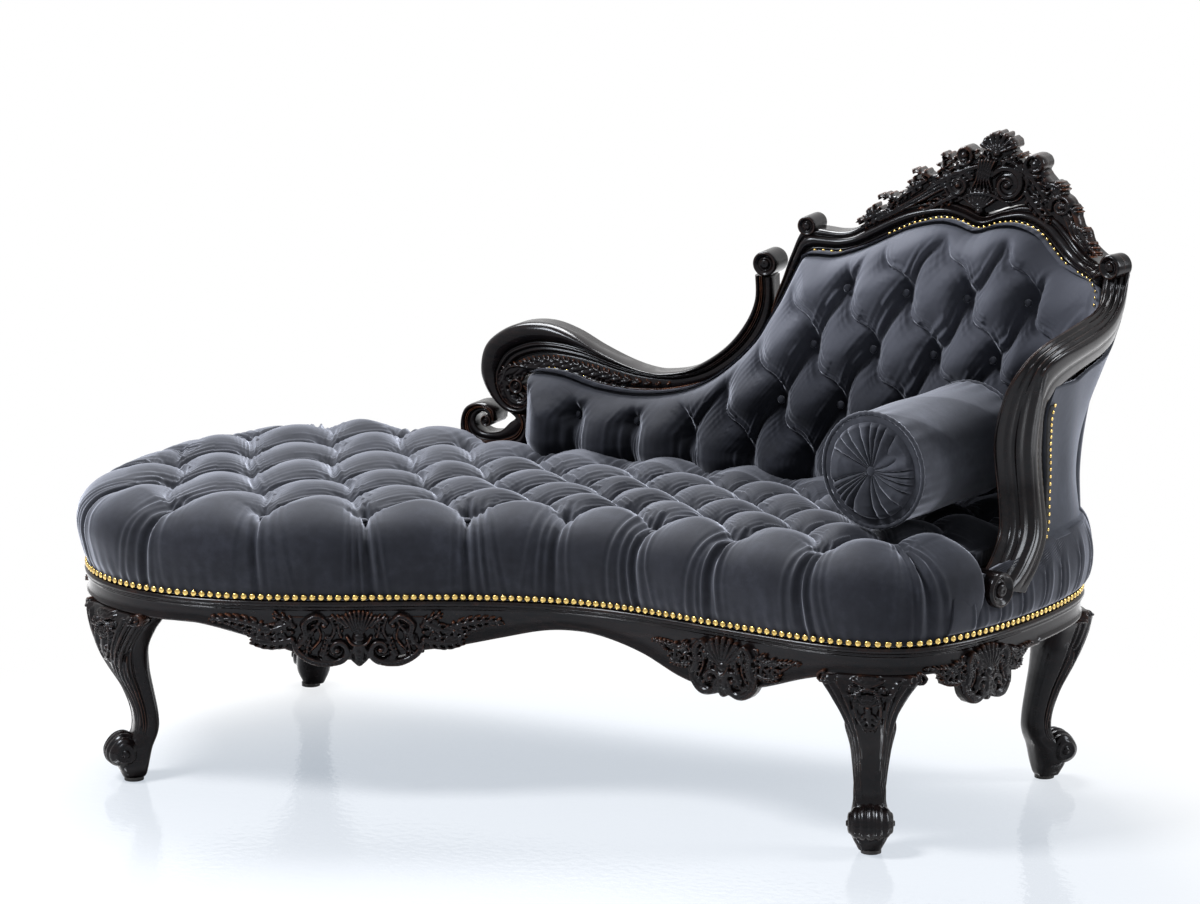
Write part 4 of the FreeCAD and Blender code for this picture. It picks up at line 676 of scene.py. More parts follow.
def border_distance(run, rise):
    """Distance on the shell from the nailed edge of the back, and from its two ends."""
    nearest = np.full(run.shape, 1.0)
    for start, end in zip(pad_curve[:-1:2], pad_curve[2::2]):
        span = end - start
        t = ((run - start[0]) * span[0] + (rise - start[1]) * span[1]) / (span @ span)
        t = np.clip(t, 0.0, 1.0)
        away = np.hypot(run - start[0] - t * span[0], rise - start[1] - t * span[1])
        nearest = np.minimum(nearest, away)
    return np.minimum(nearest, run - pad_line[0, 0])


def pad_depth(run, rise):
    """How far the velvet of the back stands into the room from the shell line."""
    column, row = pad_lattice(run, rise)
    held = np.maximum(row, -2.0)
    swerve = 0.10 * np.sin(TAU * (column - held / 2.0))
    a = column + held / 2.0 + swerve
    b = column - held / 2.0
    off_a, off_b = a - np.round(a), b - np.round(b)
    across = (off_a + off_b) / 2.0 * back_pitch
    up = (off_a - off_b + row - held) * back_row
    edge = np.clip(border_distance(run, rise) / pad_round, 0.0, 1.0)
    full = pad_fullness(run)
    thick = np.minimum(1.0, full / back_pad * 1.4)
    relief = tuft_relief(a, b, across, up, *back_tufts)
    low = smooth((rise - pad_low) / 0.045)
    tuck = pad_tuck * (1.0 - low) * full / back_pad
    sunk = relief * thick * smooth(edge * 1.4)
    return pad_back + pad_edge + full * half_round(1.0 - edge) - sunk - tuck


def back_velvet(velvet):
    """Cover of the back and arm: a ring round every station, up the room side by the depth of
    the padding and down its back."""
    columns, rows, back_rows = fine(640), fine(190), 9
    last = int(np.argmax(pad_curve[:, 0]))
    rising, falling = pad_curve[:last + 1], pad_curve[last:]
    keys = np.linspace(rising[0, 0], rising[-1, 0], columns)
    tops = np.stack([keys, look_up(rising, keys) + 0.004], axis=1)
    foot = np.stack([np.minimum(keys, falling[-1, 0]), np.full(columns, pad_low)], axis=1)
    up = np.linspace(0.0, 1.0, rows)[None, :, None]
    grid = between(foot[:, None], tops[:, None], up)
    edge_run = np.interp(grid[..., 1], falling[::-1, 1], falling[::-1, 0])
    start = keys[-1] - pad_bend
    reach = np.maximum(grid[..., 0] - start, 0.0) / pad_bend
    grid[..., 0] = np.where(smooth((keys - keys[-1] + pad_bend) / pad_bend)[:, None] > 0.0,
                            np.minimum(grid[..., 0], start) + reach * (edge_run - start),
                            grid[..., 0])
    run, rise = grid[..., 0], grid[..., 1]
    front = shell_point(run, rise, -pad_depth(run, rise))
    down = np.linspace(1.0, 0.0, back_rows)[None, :]
    back_run = between(run[:, :1], run[:, -1:], down)
    back_height = between(rise[:, :1], rise[:, -1:], down)
    behind = shell_point(back_run, back_height, np.full(back_run.shape, -pad_back))
    skin = tube(np.concatenate([front, behind], axis=1))
    cover = make_piece("back_velvet", [skin], velvet)
    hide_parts("inside_back_cover")


def moulded_rail(upper, lower, per_span, section, depth, steps):
    """Show wood between two lines on the shell: the section runs from the upper line to the
    lower one on the room side, the back is plain."""
    (upper_run, upper_rise), (lower_run, lower_rise) = [
        even(shell_line(line, per_span), steps).T[..., None]
        for line in (upper, lower)]
    across, height = section.T[:, None]
    run = between(upper_run, lower_run, across)
    rise = between(upper_rise, lower_rise, across)
    front = shell_point(run, rise, -rail_half + depth * (0.6 - height))
    behind = np.linspace(1.0, 0.0, 10)[None]
    plump = 0.006 * np.sin(math.pi * behind)
    rear = shell_point(between(upper_run, lower_run, behind),
                       between(upper_rise, lower_rise, behind), rail_half - 0.004 + plump)
    return tube(np.concatenate([front, rear], axis=1))


def section_of(*beads, samples=52):
    """Moulding profile: for each bead a start, an end and a height, all shares, as half rounds
    with quirks between them."""
    w = np.linspace(0.0, 1.0, samples)
    height = np.zeros(samples)
    for low, high, top in beads:
        offset = (w - (low + high) / 2.0) / ((high - low) / 2.0)
        height = np.maximum(height, top * half_round(offset))
    return np.stack([w, height], axis=1)


# Scrolls of the show wood: place on the shell, radius, half length, place whose outward
# direction the eye looks in
scrolls = (
    ((0.268, 0.661), 0.021, 0.026, 0.268), ((0.313, 0.757), 0.016, 0.026, 0.313),
    ((0.655, 0.745), 0.020, 0.016, 0.585), ((0.853, 0.101), 0.028, 0.044, 0.853),
    ((-0.014, 0.318), 0.013, 0.031, -0.014), ((-0.050, 0.226), 0.010, 0.029, -0.050),
)


def show_wood(wood):
    """Mouldings of the low back, the crest and the arm with their turned scrolls."""
    steps = fine(300)
    swoop = section_of((0.00, 0.34, 1.0), (0.33, 0.43, 0.86), (0.42, 0.52, 0.76),
                       (0.51, 1.00, 0.46))
    crest = section_of((0.00, 0.30, 0.62), (0.26, 0.78, 1.0), (0.74, 1.00, 0.50))
    forms = [
        moulded_rail(swoop_upper_shares, swoop_lower_shares, 12, swoop, 0.014, steps),
        moulded_rail(curl_outer_shares, curl_inner_shares, 12, swoop, 0.010, int(steps * 0.4)),
        *[turned_scroll(*scroll) for scroll in scrolls],
        moulded_rail(crest_upper_shares, crest_lower_shares, 10, crest, 0.014, steps)]
    piece = wooden("show_wood_back", forms, wood)
    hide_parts("swoop_rail", "swoop_curl", "top_scroll", "crest_ears", "crest_rail",
                "arm_scroll")


def turned_scroll(place, radius, half, facing):
    """Scroll on the shell, whose eye looks square out of the shell at another place."""
    run, rise = place[0] * frame_length, place[1] * back_rise
    middle = shell_point(np.array(run), np.array(rise), np.array(0.0))
    return turned(middle, level(station(np.array(facing * frame_length))[1]), radius, half)


def turned(middle, axis, radius, half):
    """Turned scroll about a level axis: a rolled rim and a button in each end."""
    side = np.array([-axis[1], axis[0], 0.0])
    profile = curve_through([(0.0, 0.10), (0.18, 0.16), (0.34, 0.10), (0.42, -0.06),
                             (0.52, -0.10), (0.66, 0.02), (0.84, 0.14), (0.96, 0.06),
                             (1.0, -0.12), (1.0, -0.9)], 4)
    ring = circle(side, UP, full_turn(fine(56)))
    rings = [middle + axis * (sign * (half + lift * radius)) + radius * share * ring
             for sign, table in ((-1.0, profile[1:]), (1.0, profile[:0:-1]))
             for share, lift in table]
    return tube(np.array(rings))


# Arm rail: how far its foot stands out, and the depth of its fine and its bold reeds
arm_foot_out = 0.021
fine_reed = 0.0026
bold_reed = 0.0080


def arm_moulding(wood):
    """Arm rail: a bold reeded roll from the crest's end down to its own scroll."""
    steps = fine(360)
    foot = arm_foot_out * smooth((np.linspace(0.0, 1.0, steps) - 0.62) / 0.34)
    rails = []
    for table, out in ((arm_inner_front_shares, -0.6 * rail_half),
                       (arm_outer_front_shares, rail_half), (arm_outer_back_shares, rail_half),
                       (arm_inner_back_shares, -0.6 * rail_half)):
        run, rise = even(shell_line(table, 12), steps).T
        rails.append(shell_point(run, rise, out + foot))
    corners = np.stack(rails, axis=1)
    middle = corners.mean(axis=1, keepdims=True)
    t = np.linspace(0.0, 4.0, fine(72) + 1)[:-1]
    corner, share = t.astype(int), t - t.astype(int)
    start, end = corners[:, corner], corners[:, (corner + 1) % 4]
    away = between(start, end, share[None, :, None]) - middle
    mean = np.linalg.norm(away, axis=2, keepdims=True).mean(axis=1, keepdims=True)
    rounded = between(away, unit(away) * mean, 0.14)
    fine_reeds = fine_reed * (np.abs(np.sin(math.pi * share * 2.0)) ** 0.5 - 1.0)
    bold_reeds = bold_reed * (np.abs(np.sin(math.pi * share * 4.0)) ** 0.7 - 0.85)
    reeds = np.where(corner == 1, fine_reeds, bold_reeds)
    fade = smooth(np.minimum(np.arange(steps), steps - 1 - np.arange(steps)) / 18.0)
    rings = middle + rounded + unit(rounded) * (reeds[None, :, None] * fade[:, None, None])
    piece = wooden("show_wood_arm", [tube(rings)], wood)
    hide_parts("arm_rail")


def nails(name, places, outward, brass, radius=nail_radius):
    """Dome-headed nails in a row, joined in one mesh."""
    tilt, around, flatness = (0.0, 0.45, 0.85), 8, 0.62
    turn = np.arange(around) * TAU / around
    side = unit(np.cross(outward, UP))
    over = np.cross(side, outward)
    dome = [places[:, None] + outward[:, None] * (radius * flatness * math.sin(angle))
            + radius * math.cos(angle) * (side[:, None] * np.cos(turn)[None, :, None]
                                          + over[:, None] * np.sin(turn)[None, :, None])
            for angle in tilt]
    top = places + outward * radius * flatness
    bottom = places - outward * 0.001
    last = (len(tilt) - 1) * around
    faces = [grid_faces(len(tilt), around, wrap_columns=True),
             fan_faces(np.arange(around)[::-1], last + around),
             fan_faces(np.arange(around) + last, last + around + 1)]
    forms = [(np.vstack([*[ring[k] for ring in dome], bottom[k], top[k]]), faces)
             for k in range(len(places))]
    return make_piece(name, forms, brass)


def seat_nails(brass):
    """Close row of nails round the foot of the seat."""
    runs = np.linspace(0.0, whole_run, int(whole_run / nail_pitch) + 1)[:-1]
    places = frame_point(runs, -0.0008, rail_top + 0.0062)
    piece = nails("seat_nails", places, level(station(runs)[1]), brass)
    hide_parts("seat_nail_trim")


def buttons(name, places, axes, radius, velvet, replaced, body="root"):
    """Covered buttons: low domes with a soft edge."""
    turn = full_turn(24)
    profile = ((0.80, -0.35), (1.0, 0.0), (0.96, 0.22), (0.78, 0.42), (0.48, 0.54), (0.20, 0.58))
    forms = []
    for place, axis in zip(places, axes):
        helper = UP if abs(axis[2]) < 0.8 else np.array([1.0, 0.0, 0.0])
        side = unit(np.cross(axis, helper))
        ring = circle(side, np.cross(side, axis), turn)
        forms.append(tube(np.array([place + axis * (radius * lift) + radius * share * ring
                                    for share, lift in profile])))
    piece = make_piece(name, forms, velvet, body)
    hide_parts(replaced)


def island_middles(node, widest=0.030):
    """Middle of every loose solid of a CAD node, read off its vertices. No solid is wider than
    "widest", and the gaps between them are larger."""
    mesh = nodes[node].data
    count = len(mesh.vertices)
    places = np.zeros(count * 3)
    mesh.vertices.foreach_get("co", places)
    places = places.reshape(-1, 3)
    matrix = np.array(nodes[node].matrix_world)
    places = places @ matrix[:3, :3].T + matrix[:3, 3]
    middles = []
    left = np.ones(count, bool)
    while left.any():
        first = places[np.argmax(left)]
        group = left & (np.linalg.norm(places - first, axis=1) < widest)
        middles.append(places[group].mean(axis=0))
        left &= ~group
    return np.array(middles)


# Roll at the foot of the outside covers, and the arm scroll that it passes behind
roll_middle = 0.067
roll_half = 0.055
roll_swell = 0.0165
scroll_run = 0.850 * frame_length
scroll_rise = 0.090
# Pleats of the outside covers: depth and width of the fold, width of the lips beside it, their
# places and heights
cover_fold = 0.0034
cover_fold_width = 0.0040
cover_lip_width = 0.0036
near_lip = (0.0072, 0.0022)
far_lip = (0.0150, 0.0016)


def value_of(rule, place):
    """A rule is a function of the place, or one number for every place."""
    return rule(place) if callable(rule) else rule


def outside_cover(name, start, end, top, velvet, node=None, foot=0.001, gap=0.034,
                  inner=0.018, counts=(200, 72)):
    """Outside cover between the frame and the show wood, swelling at its foot with pleats.
    "end" gives the run where a height ends, "top" the height that a run reaches."""
    columns, rows = fine(counts[0]), fine(counts[1])
    share = np.linspace(0.0, 1.0, columns)[:, None]
    climb = np.linspace(0.0, 1.0, rows)[None] ** 1.2
    rise = between(foot, value_of(top, between(start, value_of(end, foot), share)), climb)
    run, rise = np.broadcast_arrays(between(start, value_of(end, rise), share), rise)
    scroll = np.exp(-((run - scroll_run) / 0.050) ** 2 - ((rise - scroll_rise) / 0.044) ** 2)
    roll = half_round((rise - roll_middle) / roll_half)
    pleat = np.zeros(run.shape)
    for place in np.arange(start / frame_length + 0.03, 0.905, gap) * frame_length:
        wander = chance(place * 50.0, 2.0, 3.0)
        off = run - place - 0.012 * wander * smooth(rise / 0.09)
        pleat = pleat - cover_fold * bell(off, cover_fold_width)
        pleat = pleat + near_lip[1] * bell(off - near_lip[0], cover_lip_width)
        pleat = pleat + far_lip[1] * bell(off + far_lip[0] * (1.0 + 0.3 * wander),
                                          cover_lip_width)
    low_part = smooth((0.122 - rise) / 0.040) * smooth((rise - 0.010) / 0.012)
    swell = roll_swell * roll * (1.0 - 0.85 * scroll) + pleat * low_part
    crease = 0.0010 * np.sin(run * 61.0 + 4.0 * np.sin(rise * 9.0)) * smooth(climb * 3.0)
    front = shell_point(run, rise, rail_half + swell + crease)
    behind = shell_point(run[:, ::-1], rise[:, ::-1], inner)
    skin = tube(np.concatenate([front, behind], axis=1), flat=True)
    piece = make_piece(name, [skin], velvet)
    if node:
        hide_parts(node)


class Carving:
    """Flat layout of a carving in metres: strokes, each with half widths and heights along its
    line, that carved() turns into a relief."""

    def __init__(self):
        self.strokes = []

    def stroke(self, points, widths, heights, groove=0.0):
        """Adds a curved line; its widths and heights are spread evenly along it."""
        line = curve_through(points, 5)
        places = np.linspace(0.0, 1.0, len(line))
        widths, heights = [np.interp(places, np.linspace(0.0, 1.0, len(row)), row)
                           for row in (widths, heights)]
        self.strokes.append((line, widths, heights, groove))

    def curl(self, middle, turns, radii, widths, heights, flip=1.0, groove=0.25):
        """Scroll that winds from a wide sweep in to a round eye."""
        share = np.linspace(0.0, 1.0, 15)
        angle = between(turns[0], turns[1], share) * TAU
        radius = between(radii[0], radii[1], share ** 0.8)
        points = np.stack([middle[0] + flip * radius * np.cos(angle),
                           middle[1] + radius * np.sin(angle)], axis=1)
        self.stroke(points, widths, heights, groove)
        self.dot(middle, radii[1] * 0.95, heights[-1] * 1.25)

    def dot(self, middle, radius, height):
        """Round knob."""
        spot = np.array(middle)
        self.stroke([spot - (radius * 0.05, 0.0), spot + (radius * 0.05, 0.0)],
                    (radius, radius), (height, height))

    def leaf(self, base, angle, length, bend, width, height, lobes=4):
        """Acanthus leaf: a grooved rib that bends, with lobes sweeping off both its sides."""
        share = np.linspace(0.0, 1.0, 7)
        turn = angle + bend * share
        step = length / 6.0
        rib = np.array(base) + np.concatenate([[(0.0, 0.0)], np.cumsum(
            np.stack([np.cos(turn[:-1]), np.sin(turn[:-1])], axis=1) * step, axis=0)])
        self.stroke(rib, (width * 0.26, width * 0.22, width * 0.08),
                    (height, height * 1.05, height * 0.7), 0.3)
        for k in range(lobes):
            place = (k + 0.6) / (lobes + 0.4)
            reach = width * (1.0 - 0.55 * place) * (0.75 + 0.25 * math.sin(math.pi * place))
            at = np.array([np.interp(place, share, rib[:, 0]), np.interp(place, share, rib[:, 1])])
            way = angle + bend * place
            for side in (-1.0, 1.0):
                out = way + side * 0.95
                tip = way + side * 0.25
                first = at + reach * 0.55 * heading(out)
                last = first + reach * 0.60 * heading(tip)
                self.stroke([at, first, last], (width * 0.14, width * 0.17, width * 0.06),
                            (height * 0.80, height * 0.85, height * 0.35), 0.35)

    def shell(self, base, angle, radius, spread, ribs, height):
        """Scallop: ribs that fan out from a knob and round over at their tips."""
        for k in range(ribs):
            way = heading(angle + spread * ((k + 0.5) / ribs - 0.5))
            wide = 0.46 * spread * radius / ribs
            self.stroke([base + way * radius * 0.22, base + way * radius * 0.6,
                         base + way * radius], (wide * 0.35, wide * 0.75, wide),
                        (height * 1.15, height, height * 0.75), 0.12)
        self.dot(base, radius * 0.24, height * 1.3)

    def flower(self, middle, spread, start, twist, widths, heights, groove):
        """Six petals round a middle, each turned a little on its way out."""
        for k in range(6):
            turn = TAU * k / 6.0 + start
            petal = [np.array(middle) + reach * heading(way)
                     for reach, way in ((3.0, turn), (spread, turn + twist))]
            self.stroke(petal, widths, heights, groove)

    def mirrored(self, other):
        """Adds another layout and its mirror image about the upright line through 0."""
        for line, *rest in other.strokes:
            self.strokes += [(line, *rest), (line * (-1.0, 1.0), *rest)]

    def height(self, u, v):
        """Highest stroke over each place: half-round sections, some with a groove along."""
        top = np.full(u.shape, -1.0)
        for line, widths, heights, groove in self.strokes:
            reach = widths.max()
            near = ((u > line[:, 0].min() - reach) & (u < line[:, 0].max() + reach)
                    & (v > line[:, 1].min() - reach) & (v < line[:, 1].max() + reach))
            if not near.any():
                continue
            here = np.stack([u[near], v[near]], axis=1)
            best = np.full(len(here), -1.0)
            for k in range(len(line) - 1):
                span = line[k + 1] - line[k]
                t = ((here - line[k]) @ span) / max(span @ span, 1e-12)
                t = np.clip(t, 0.0, 1.0)
                away = np.linalg.norm(here - line[k] - t[:, None] * span, axis=1)
                wide = between(widths[k], widths[k + 1], t)
                tall = between(heights[k], heights[k + 1], t)
                ratio = away / np.maximum(wide, 1e-5)
                tall = tall * half_round(ratio) * (1.0 - groove * bell(ratio, 0.22))
                best = np.maximum(best, np.where(ratio < 1.0, tall, -1.0))
            top[near] = np.maximum(top[near], best)
        return top


def eased(values, rim):
    """The same values, but along the rim moved six times halfway to the mean of those beside
    them, which takes out its steps."""
    times = np.bincount(rim.ravel(), minlength=values.size)
    for _ in range(6):
        beside = np.bincount(rim.ravel(), weights=values[rim[:, ::-1]].ravel(),
                             minlength=values.size)
        values = np.where(times > 0, 0.5 * values + 0.5 * beside / np.maximum(times, 1), values)
    return values


def carved(carrier, u_ends, v_ends, cell, layout, body, back, thin=0.0008):
    """Closed form of a carved panel. carrier(u, v, out) puts a place on the furniture,
    body(u, v) is the height of the ground, below 0 where the panel is cut away, and the layout
    stands on it. The panel's rim is evened out and rounded over."""
    u, v = np.meshgrid(np.arange(u_ends[0], u_ends[1], cell / detail),
                       np.arange(v_ends[0], v_ends[1], cell / detail), indexing="ij")
    relief = layout.height(u, v)
    ground = body(u, v)
    height = np.where(relief > thin, np.maximum(relief + np.maximum(ground, 0.0), ground), ground)
    solid = height > 0.0
    cells = solid[:-1, :-1] & solid[1:, :-1] & solid[:-1, 1:] & solid[1:, 1:]
    quads = grid_faces(*u.shape).reshape(*cells.shape, 4)[..., [0, 3, 2, 1]][cells]
    edges = np.concatenate([quads[:, [k, (k + 1) % 4]] for k in range(4)])
    rim = edges[~np.isin(edges @ (u.size, 1), edges @ (1, u.size))]
    on_rim = np.isin(np.arange(u.size), rim)
    across, up = eased(u.ravel(), rim), eased(v.ravel(), rim)
    front = carrier(across, up, np.where(on_rim, 0.4 * height.ravel(), height.ravel()))
    rear = carrier(across, up, value_of(back, across))
    used, index = np.unique(quads, return_inverse=True)
    index = index.reshape(quads.shape)
    rim = np.searchsorted(used, rim)
    count = len(used)
    walls = np.stack([rim[:, 1], rim[:, 0], rim[:, 0] + count, rim[:, 1] + count], axis=1)
    return np.vstack([front[used], rear[used]]), [index, index[:, ::-1] + count, walls]


def crest_layout():
    """Crest carving: a shell between two scrolls under a leafy finial, with acanthus, flowers
    and long strands falling to both sides. Millimetres from the crest's middle and from the
    top of the seat rail."""
    plan = Carving()
    plan.shell((3, 672), 1.60, 30, 2.7, 7, 9)
    for x, y, radius, tall in ((-19, 689, 5.5, 8), (28, 690, 6, 8),
                               (-54, 667, 7, 9), (67, 660, 8, 9),
                               (97, 621, 5, 9), (-88, 642, 5, 9),
                               (-137, 611, 5, 9), (-205, 563, 4.5, 8)):
        plan.dot((x, y), radius, tall)
    for curl in (
            ((67, 658), (0.80, -0.35), (19, 9), (4.5, 4, 3), (9, 10, 8)),
            ((-54, 665), (0.80, -0.35), (16, 8), (4, 3.5, 3), (9, 10, 8), -1),
            ((24, 622), (0.42, -0.95), (31, 8), (6, 5, 3.2), (9, 12, 11)),
            ((-60, 617), (0.42, -0.95), (24, 7), (5, 4.2, 3), (8, 11, 10), -1),
            ((24, 622), (0.30, -0.45), (40, 22), (3, 2.6, 1.4), (7, 8, 5)),
            ((-60, 617), (0.30, -0.45), (32, 18), (3, 2.6, 1.4), (7, 8, 5), -1),
            ((113, 596), (0.55, -0.80), (19, 6), (4.5, 4, 3), (8, 11, 9))):
        plan.curl(*curl)
    for k in range(6):
        lean = k - 2.5
        plan.stroke([(-12 + 5.2 * lean, 661 - 0.9 * abs(lean)), (-15 + 4.2 * lean, 645),
                     (-18 + 4.4 * lean, 628), (-20 + 7 * lean, 612)],
                    (2.9, 2.6, 2.4, 1.4), (12, 13, 11, 5), 0)
    plan.shell((-22, 578), 1.62, 34, 2.1, 9, 9)
    plan.stroke([(-62, 590), (-40, 603), (-16, 606), (8, 601), (30, 588)],
                (2, 3.4, 3.8, 3.4, 2), (6, 9, 10, 9, 6), 0.3)
    for leaf in (
            ((-30, 648), 3.45, 95, 0.35, 20, 8.5, 5),
            ((-62, 600), 3.60, 92, 0.10, 21, 8.5, 5),
            ((-118, 620), 3.75, 84, 0.10, 18, 8, 5),
            ((-150, 578), 3.62, 90, 0.12, 15, 7, 5),
            ((-184, 566), 3.60, 58, -0.10, 17, 7.5, 4),
            ((-196, 556), 2.60, 26, 0.90, 12, 7.5, 3),
            ((-168, 586), 2.90, 36, 0.60, 13, 8, 3),
            ((-112, 626), 2.70, 36, 0.70, 13, 8, 3),
            ((-64, 650), 2.50, 36, 0.70, 13, 8.5, 3),
            ((92, 630), -0.10, 24, -0.90, 13, 8.5, 3),
            ((120, 600), -0.25, 22, -0.80, 13, 8.5, 3),
            ((144, 568), -0.30, 20, -0.70, 12, 8, 3),
            ((38, 652), -0.50, 80, -0.85, 20, 8.5, 5),
            ((56, 612), -1.00, 62, 0.35, 21, 8.5, 5),
            ((84, 636), -0.80, 56, -0.30, 15, 8, 4),
            ((120, 590), -0.95, 58, 0.30, 15, 8, 4),
            ((150, 560), -0.75, 52, 0.45, 13, 7, 4),
            ((-6, 655), 2.30, 40, 0.9, 13, 8, 3),
            ((14, 655), 0.80, 38, -0.9, 13, 8, 3)):
        plan.leaf(*leaf)
    for x, y, spread in ((97, 621, 12), (-88, 642, 12), (-137, 611, 12), (-205, 563, 10),
                         (165, 543, 9)):
        plan.flower((x, y), spread, 0.4, 0.25, (2, 3.6), (7.5, 6.5), 0.3)
    for offset in (0, 5.5, 11):
        plan.stroke([(122 - offset, 606 - offset), (136 - offset, 584 - offset),
                     (150 - offset, 556 - offset * 0.7), (176, 538 - offset * 0.4)],
                    (2.6, 2.8, 2.6, 1.6), (8, 9, 8, 5), 0)
    for offset in (0, 6, 12):
        plan.stroke([(-36, 640 - offset), (-84, 622 - offset), (-132, 592 - offset * 0.8),
                     (-182, 562 - offset * 0.6), (-222, 540 - offset * 0.2)],
                    (2.4, 2.8, 2.6, 2.2, 1.2), (6, 7.5, 7, 6, 4), 0)
    return plan


def in_metres(plan, x_middle=0.0):
    """The same layout in metres, moved sideways."""
    plan.strokes = [(line / 1000.0 + (x_middle, 0.0), widths / 1000.0, heights / 1000.0, groove)
                    for line, widths, heights, groove in plan.strokes]
    return plan


def no_ground(u, v):
    """Ground of a carving that has none: only its strokes stand."""
    return np.full(u.shape, -1.0)


def knee_wings(wood):
    """Small scrolled brackets that spread from each knee along under the seat rail."""
    for name, (run, _) in leg_places.items():
        plan = Carving()
        for side in (-1, 1):
            plan.curl((side * 63, -50), (0.25, -0.75), (10, 4), (3.6, 3), (9, 10),
                      side)
            for n in range(4):
                plan.stroke([(side * (66 - 3.5 * n), -41 - 4.5 * n),
                             (side * (50 - 3 * n), -50 - 7 * n),
                             (side * (38 - 2 * n), -66 - 10 * n),
                             (side * (30 - 2 * n), -86 - 10 * n)],
                            (2.2, 3.4, 3.6, 2.2), (7, 8, 8, 4), 0)
        panel = carved(lambda u, v, out: frame_point(run - u, -0.003 - out, rail_top + v),
                       (-0.080, 0.080), (-0.130, -0.034), 0.0014, in_metres(plan), no_ground,
                       -0.026)
        wooden(name.replace("leg", "knee_wings"), [panel], wood)


def crest_carving(wood):
    """Leafwork of the crest on a thin ground between its two outlines."""
    upper = curve_through(carving_upper_shares, 4) * (frame_length, back_rise)
    lower = curve_through(carving_lower_shares, 4) * (frame_length, back_rise)
    layout = in_metres(crest_layout(), 0.516 * frame_length)

    def ground(u, v):
        inside = ((v < look_up(upper, u) - 0.017) & (v > look_up(lower, u))
                  & (u > upper[0, 0] + 0.004) & (u < upper[-1, 0] - 0.004))
        return np.where(inside, 0.0010, -1.0)

    panel = carved(lambda u, v, out: shell_point(u, v, -0.022 - out), (0.540, 1.030),
                   (0.512, 0.715), 0.0013, layout, ground,
                   lambda u: -0.030 + 0.020 * smooth((u - 0.89) / 0.06))
    piece = wooden("crest_leafwork", [panel], wood)
    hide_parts("crest_carving")


def apron_plan(half, deep, fan):
    """Apron carving about its own middle, in millimetres: a crown of ribs over a bud, two pairs
    of scrolls, flowers and a leaf at each end. "half" is its half width, "deep" its drop."""
    side, plan = Carving(), Carving()
    # Across and down, the drawing is to the size of the largest of the four.
    k, d = half / 237.0, deep / 100.0

    def at(*points):
        return [(x * k, y * d) for x, y in points]

    side.curl(at((34, -78))[0], (-0.05, -1.10), (24 * d, 6.5 * d), (7.5, 6.2, 4), (8, 11, 10))
    side.stroke(at((14, -84), (36, -98), (66, -98), (92, -84), (104, -60)),
                (4, 6.4, 7.2, 6.4, 4), (8, 11, 12, 10, 6), 0.25)
    side.stroke(at((98, -76), (82, -56), (84, -36), (66, -24), (50, -34)),
                (4.6, 6, 6.6, 5.8, 3.8), (8, 10, 12, 11, 8), 0.25)
    side.dot(at((54, -38))[0], 5, 10)
    side.stroke(at((44, -26), (38, -46), (48, -66)), (2.6, 3.4, 2), (8, 9, 6), 0.3)
    side.stroke(at((62, -42), (60, -60), (74, -78)), (2, 3, 2), (7, 8, 6))
    for place, angle, length, bend, width, height, lobes in (
            ((20, -40), 0.9, 30 * k, -0.9, 14 * k, 8, 3),
            ((58, -86), 2.2, 34 * d, -0.8, 14 * d, 8.5, 4),
            ((92, -72), 2.0, 38 * d, 0.7, 14 * d, 9.5, 4),
            ((28, -56), 1.2, 30 * d, 0.7, 12 * d, 8.5, 3),
            ((76, -62), -1.2, 34 * d, -0.6, 13 * d, 8.5, 3),
            ((100, -40), 0.75, 40 * k, -0.6, 16 * k, 9, 3),
            ((104, -62), -0.25, 66 * k, 0.55, 24 * k, 9, 5),
            ((106, -34), -0.55, 56 * k, 0.75, 20 * k, 9, 4),
            ((150, -42), 0.30, 84 * k, -0.45, 20 * k, 8, 6),
            ((138, -64), 0.15, 46 * k, 0.60, 15 * k, 7.5, 4),
            ((60, -30), -1.0, 46 * d, 0.6, 14 * k, 9, 3)):
        side.leaf(at(place)[0], angle, length, bend, width, height, lobes)
    for place, spread in (((118, -48), 15 * d), ((152, -46), 11 * d)):
        middle = at(place)[0]
        side.flower(middle, spread, middle[0], 0.3, (2.2, 4 * d), (8, 7), 0.35)
        side.dot(middle, 4, 9.5)
    side.stroke(at((160, -56), (188, -46), (218, -34), (236, -37)), (2.2, 3.2, 2.6, 1),
                (5, 6, 5, 2), 0.3)
    plan.mirrored(side)
    plan.shell((0, -58 * d), math.pi / 2.0, 42 * d, fan, 9, 9)
    plan.stroke(at((-19, -56), (-10, -68), (10, -68), (19, -56)), (2.4, 4, 4, 2.4),
                (9, 12, 12, 9))
    plan.stroke(at((0, -74), (0, -98)), (13 * d, 8 * d), (12, 9), 0.35)
    for turn in (-1, 1):
        plan.stroke([(turn * 9, -76 * d), (turn * 14, -88 * d), (turn * 5, -101 * d)],
                    (3, 4, 2), (9, 9, 6), 0.2)
    return plan


def apron_low(run):
    """Lower edge of the seat rails: straight at the ends and behind, shaped along the front."""
    place = station(run)[0]
    table = curve_through(apron_shares, 8)
    front = rail_top + apron_drop * np.interp(place[..., 0] / frame_length, table[:, 0],
                                              table[:, 1])
    plain = rail_top - rail_deep
    return np.where(place[..., 1] < 0.0, np.minimum(front, plain), plain)


# Apron carvings: run of the middle and half width in millimetres, drop, spread of the fan
cartouches = {
    "carving_front_foot": (2417.3, 237.3, 100.0, 1.5),
    "carving_front_head": (1784.5, 139.2, 104.0, 2.4),
    "carving_head": (1360.5, 118.7, 98.0, 2.2),
    "carving_foot": (3124.5, 150.3, 90.0, 1.8),
}


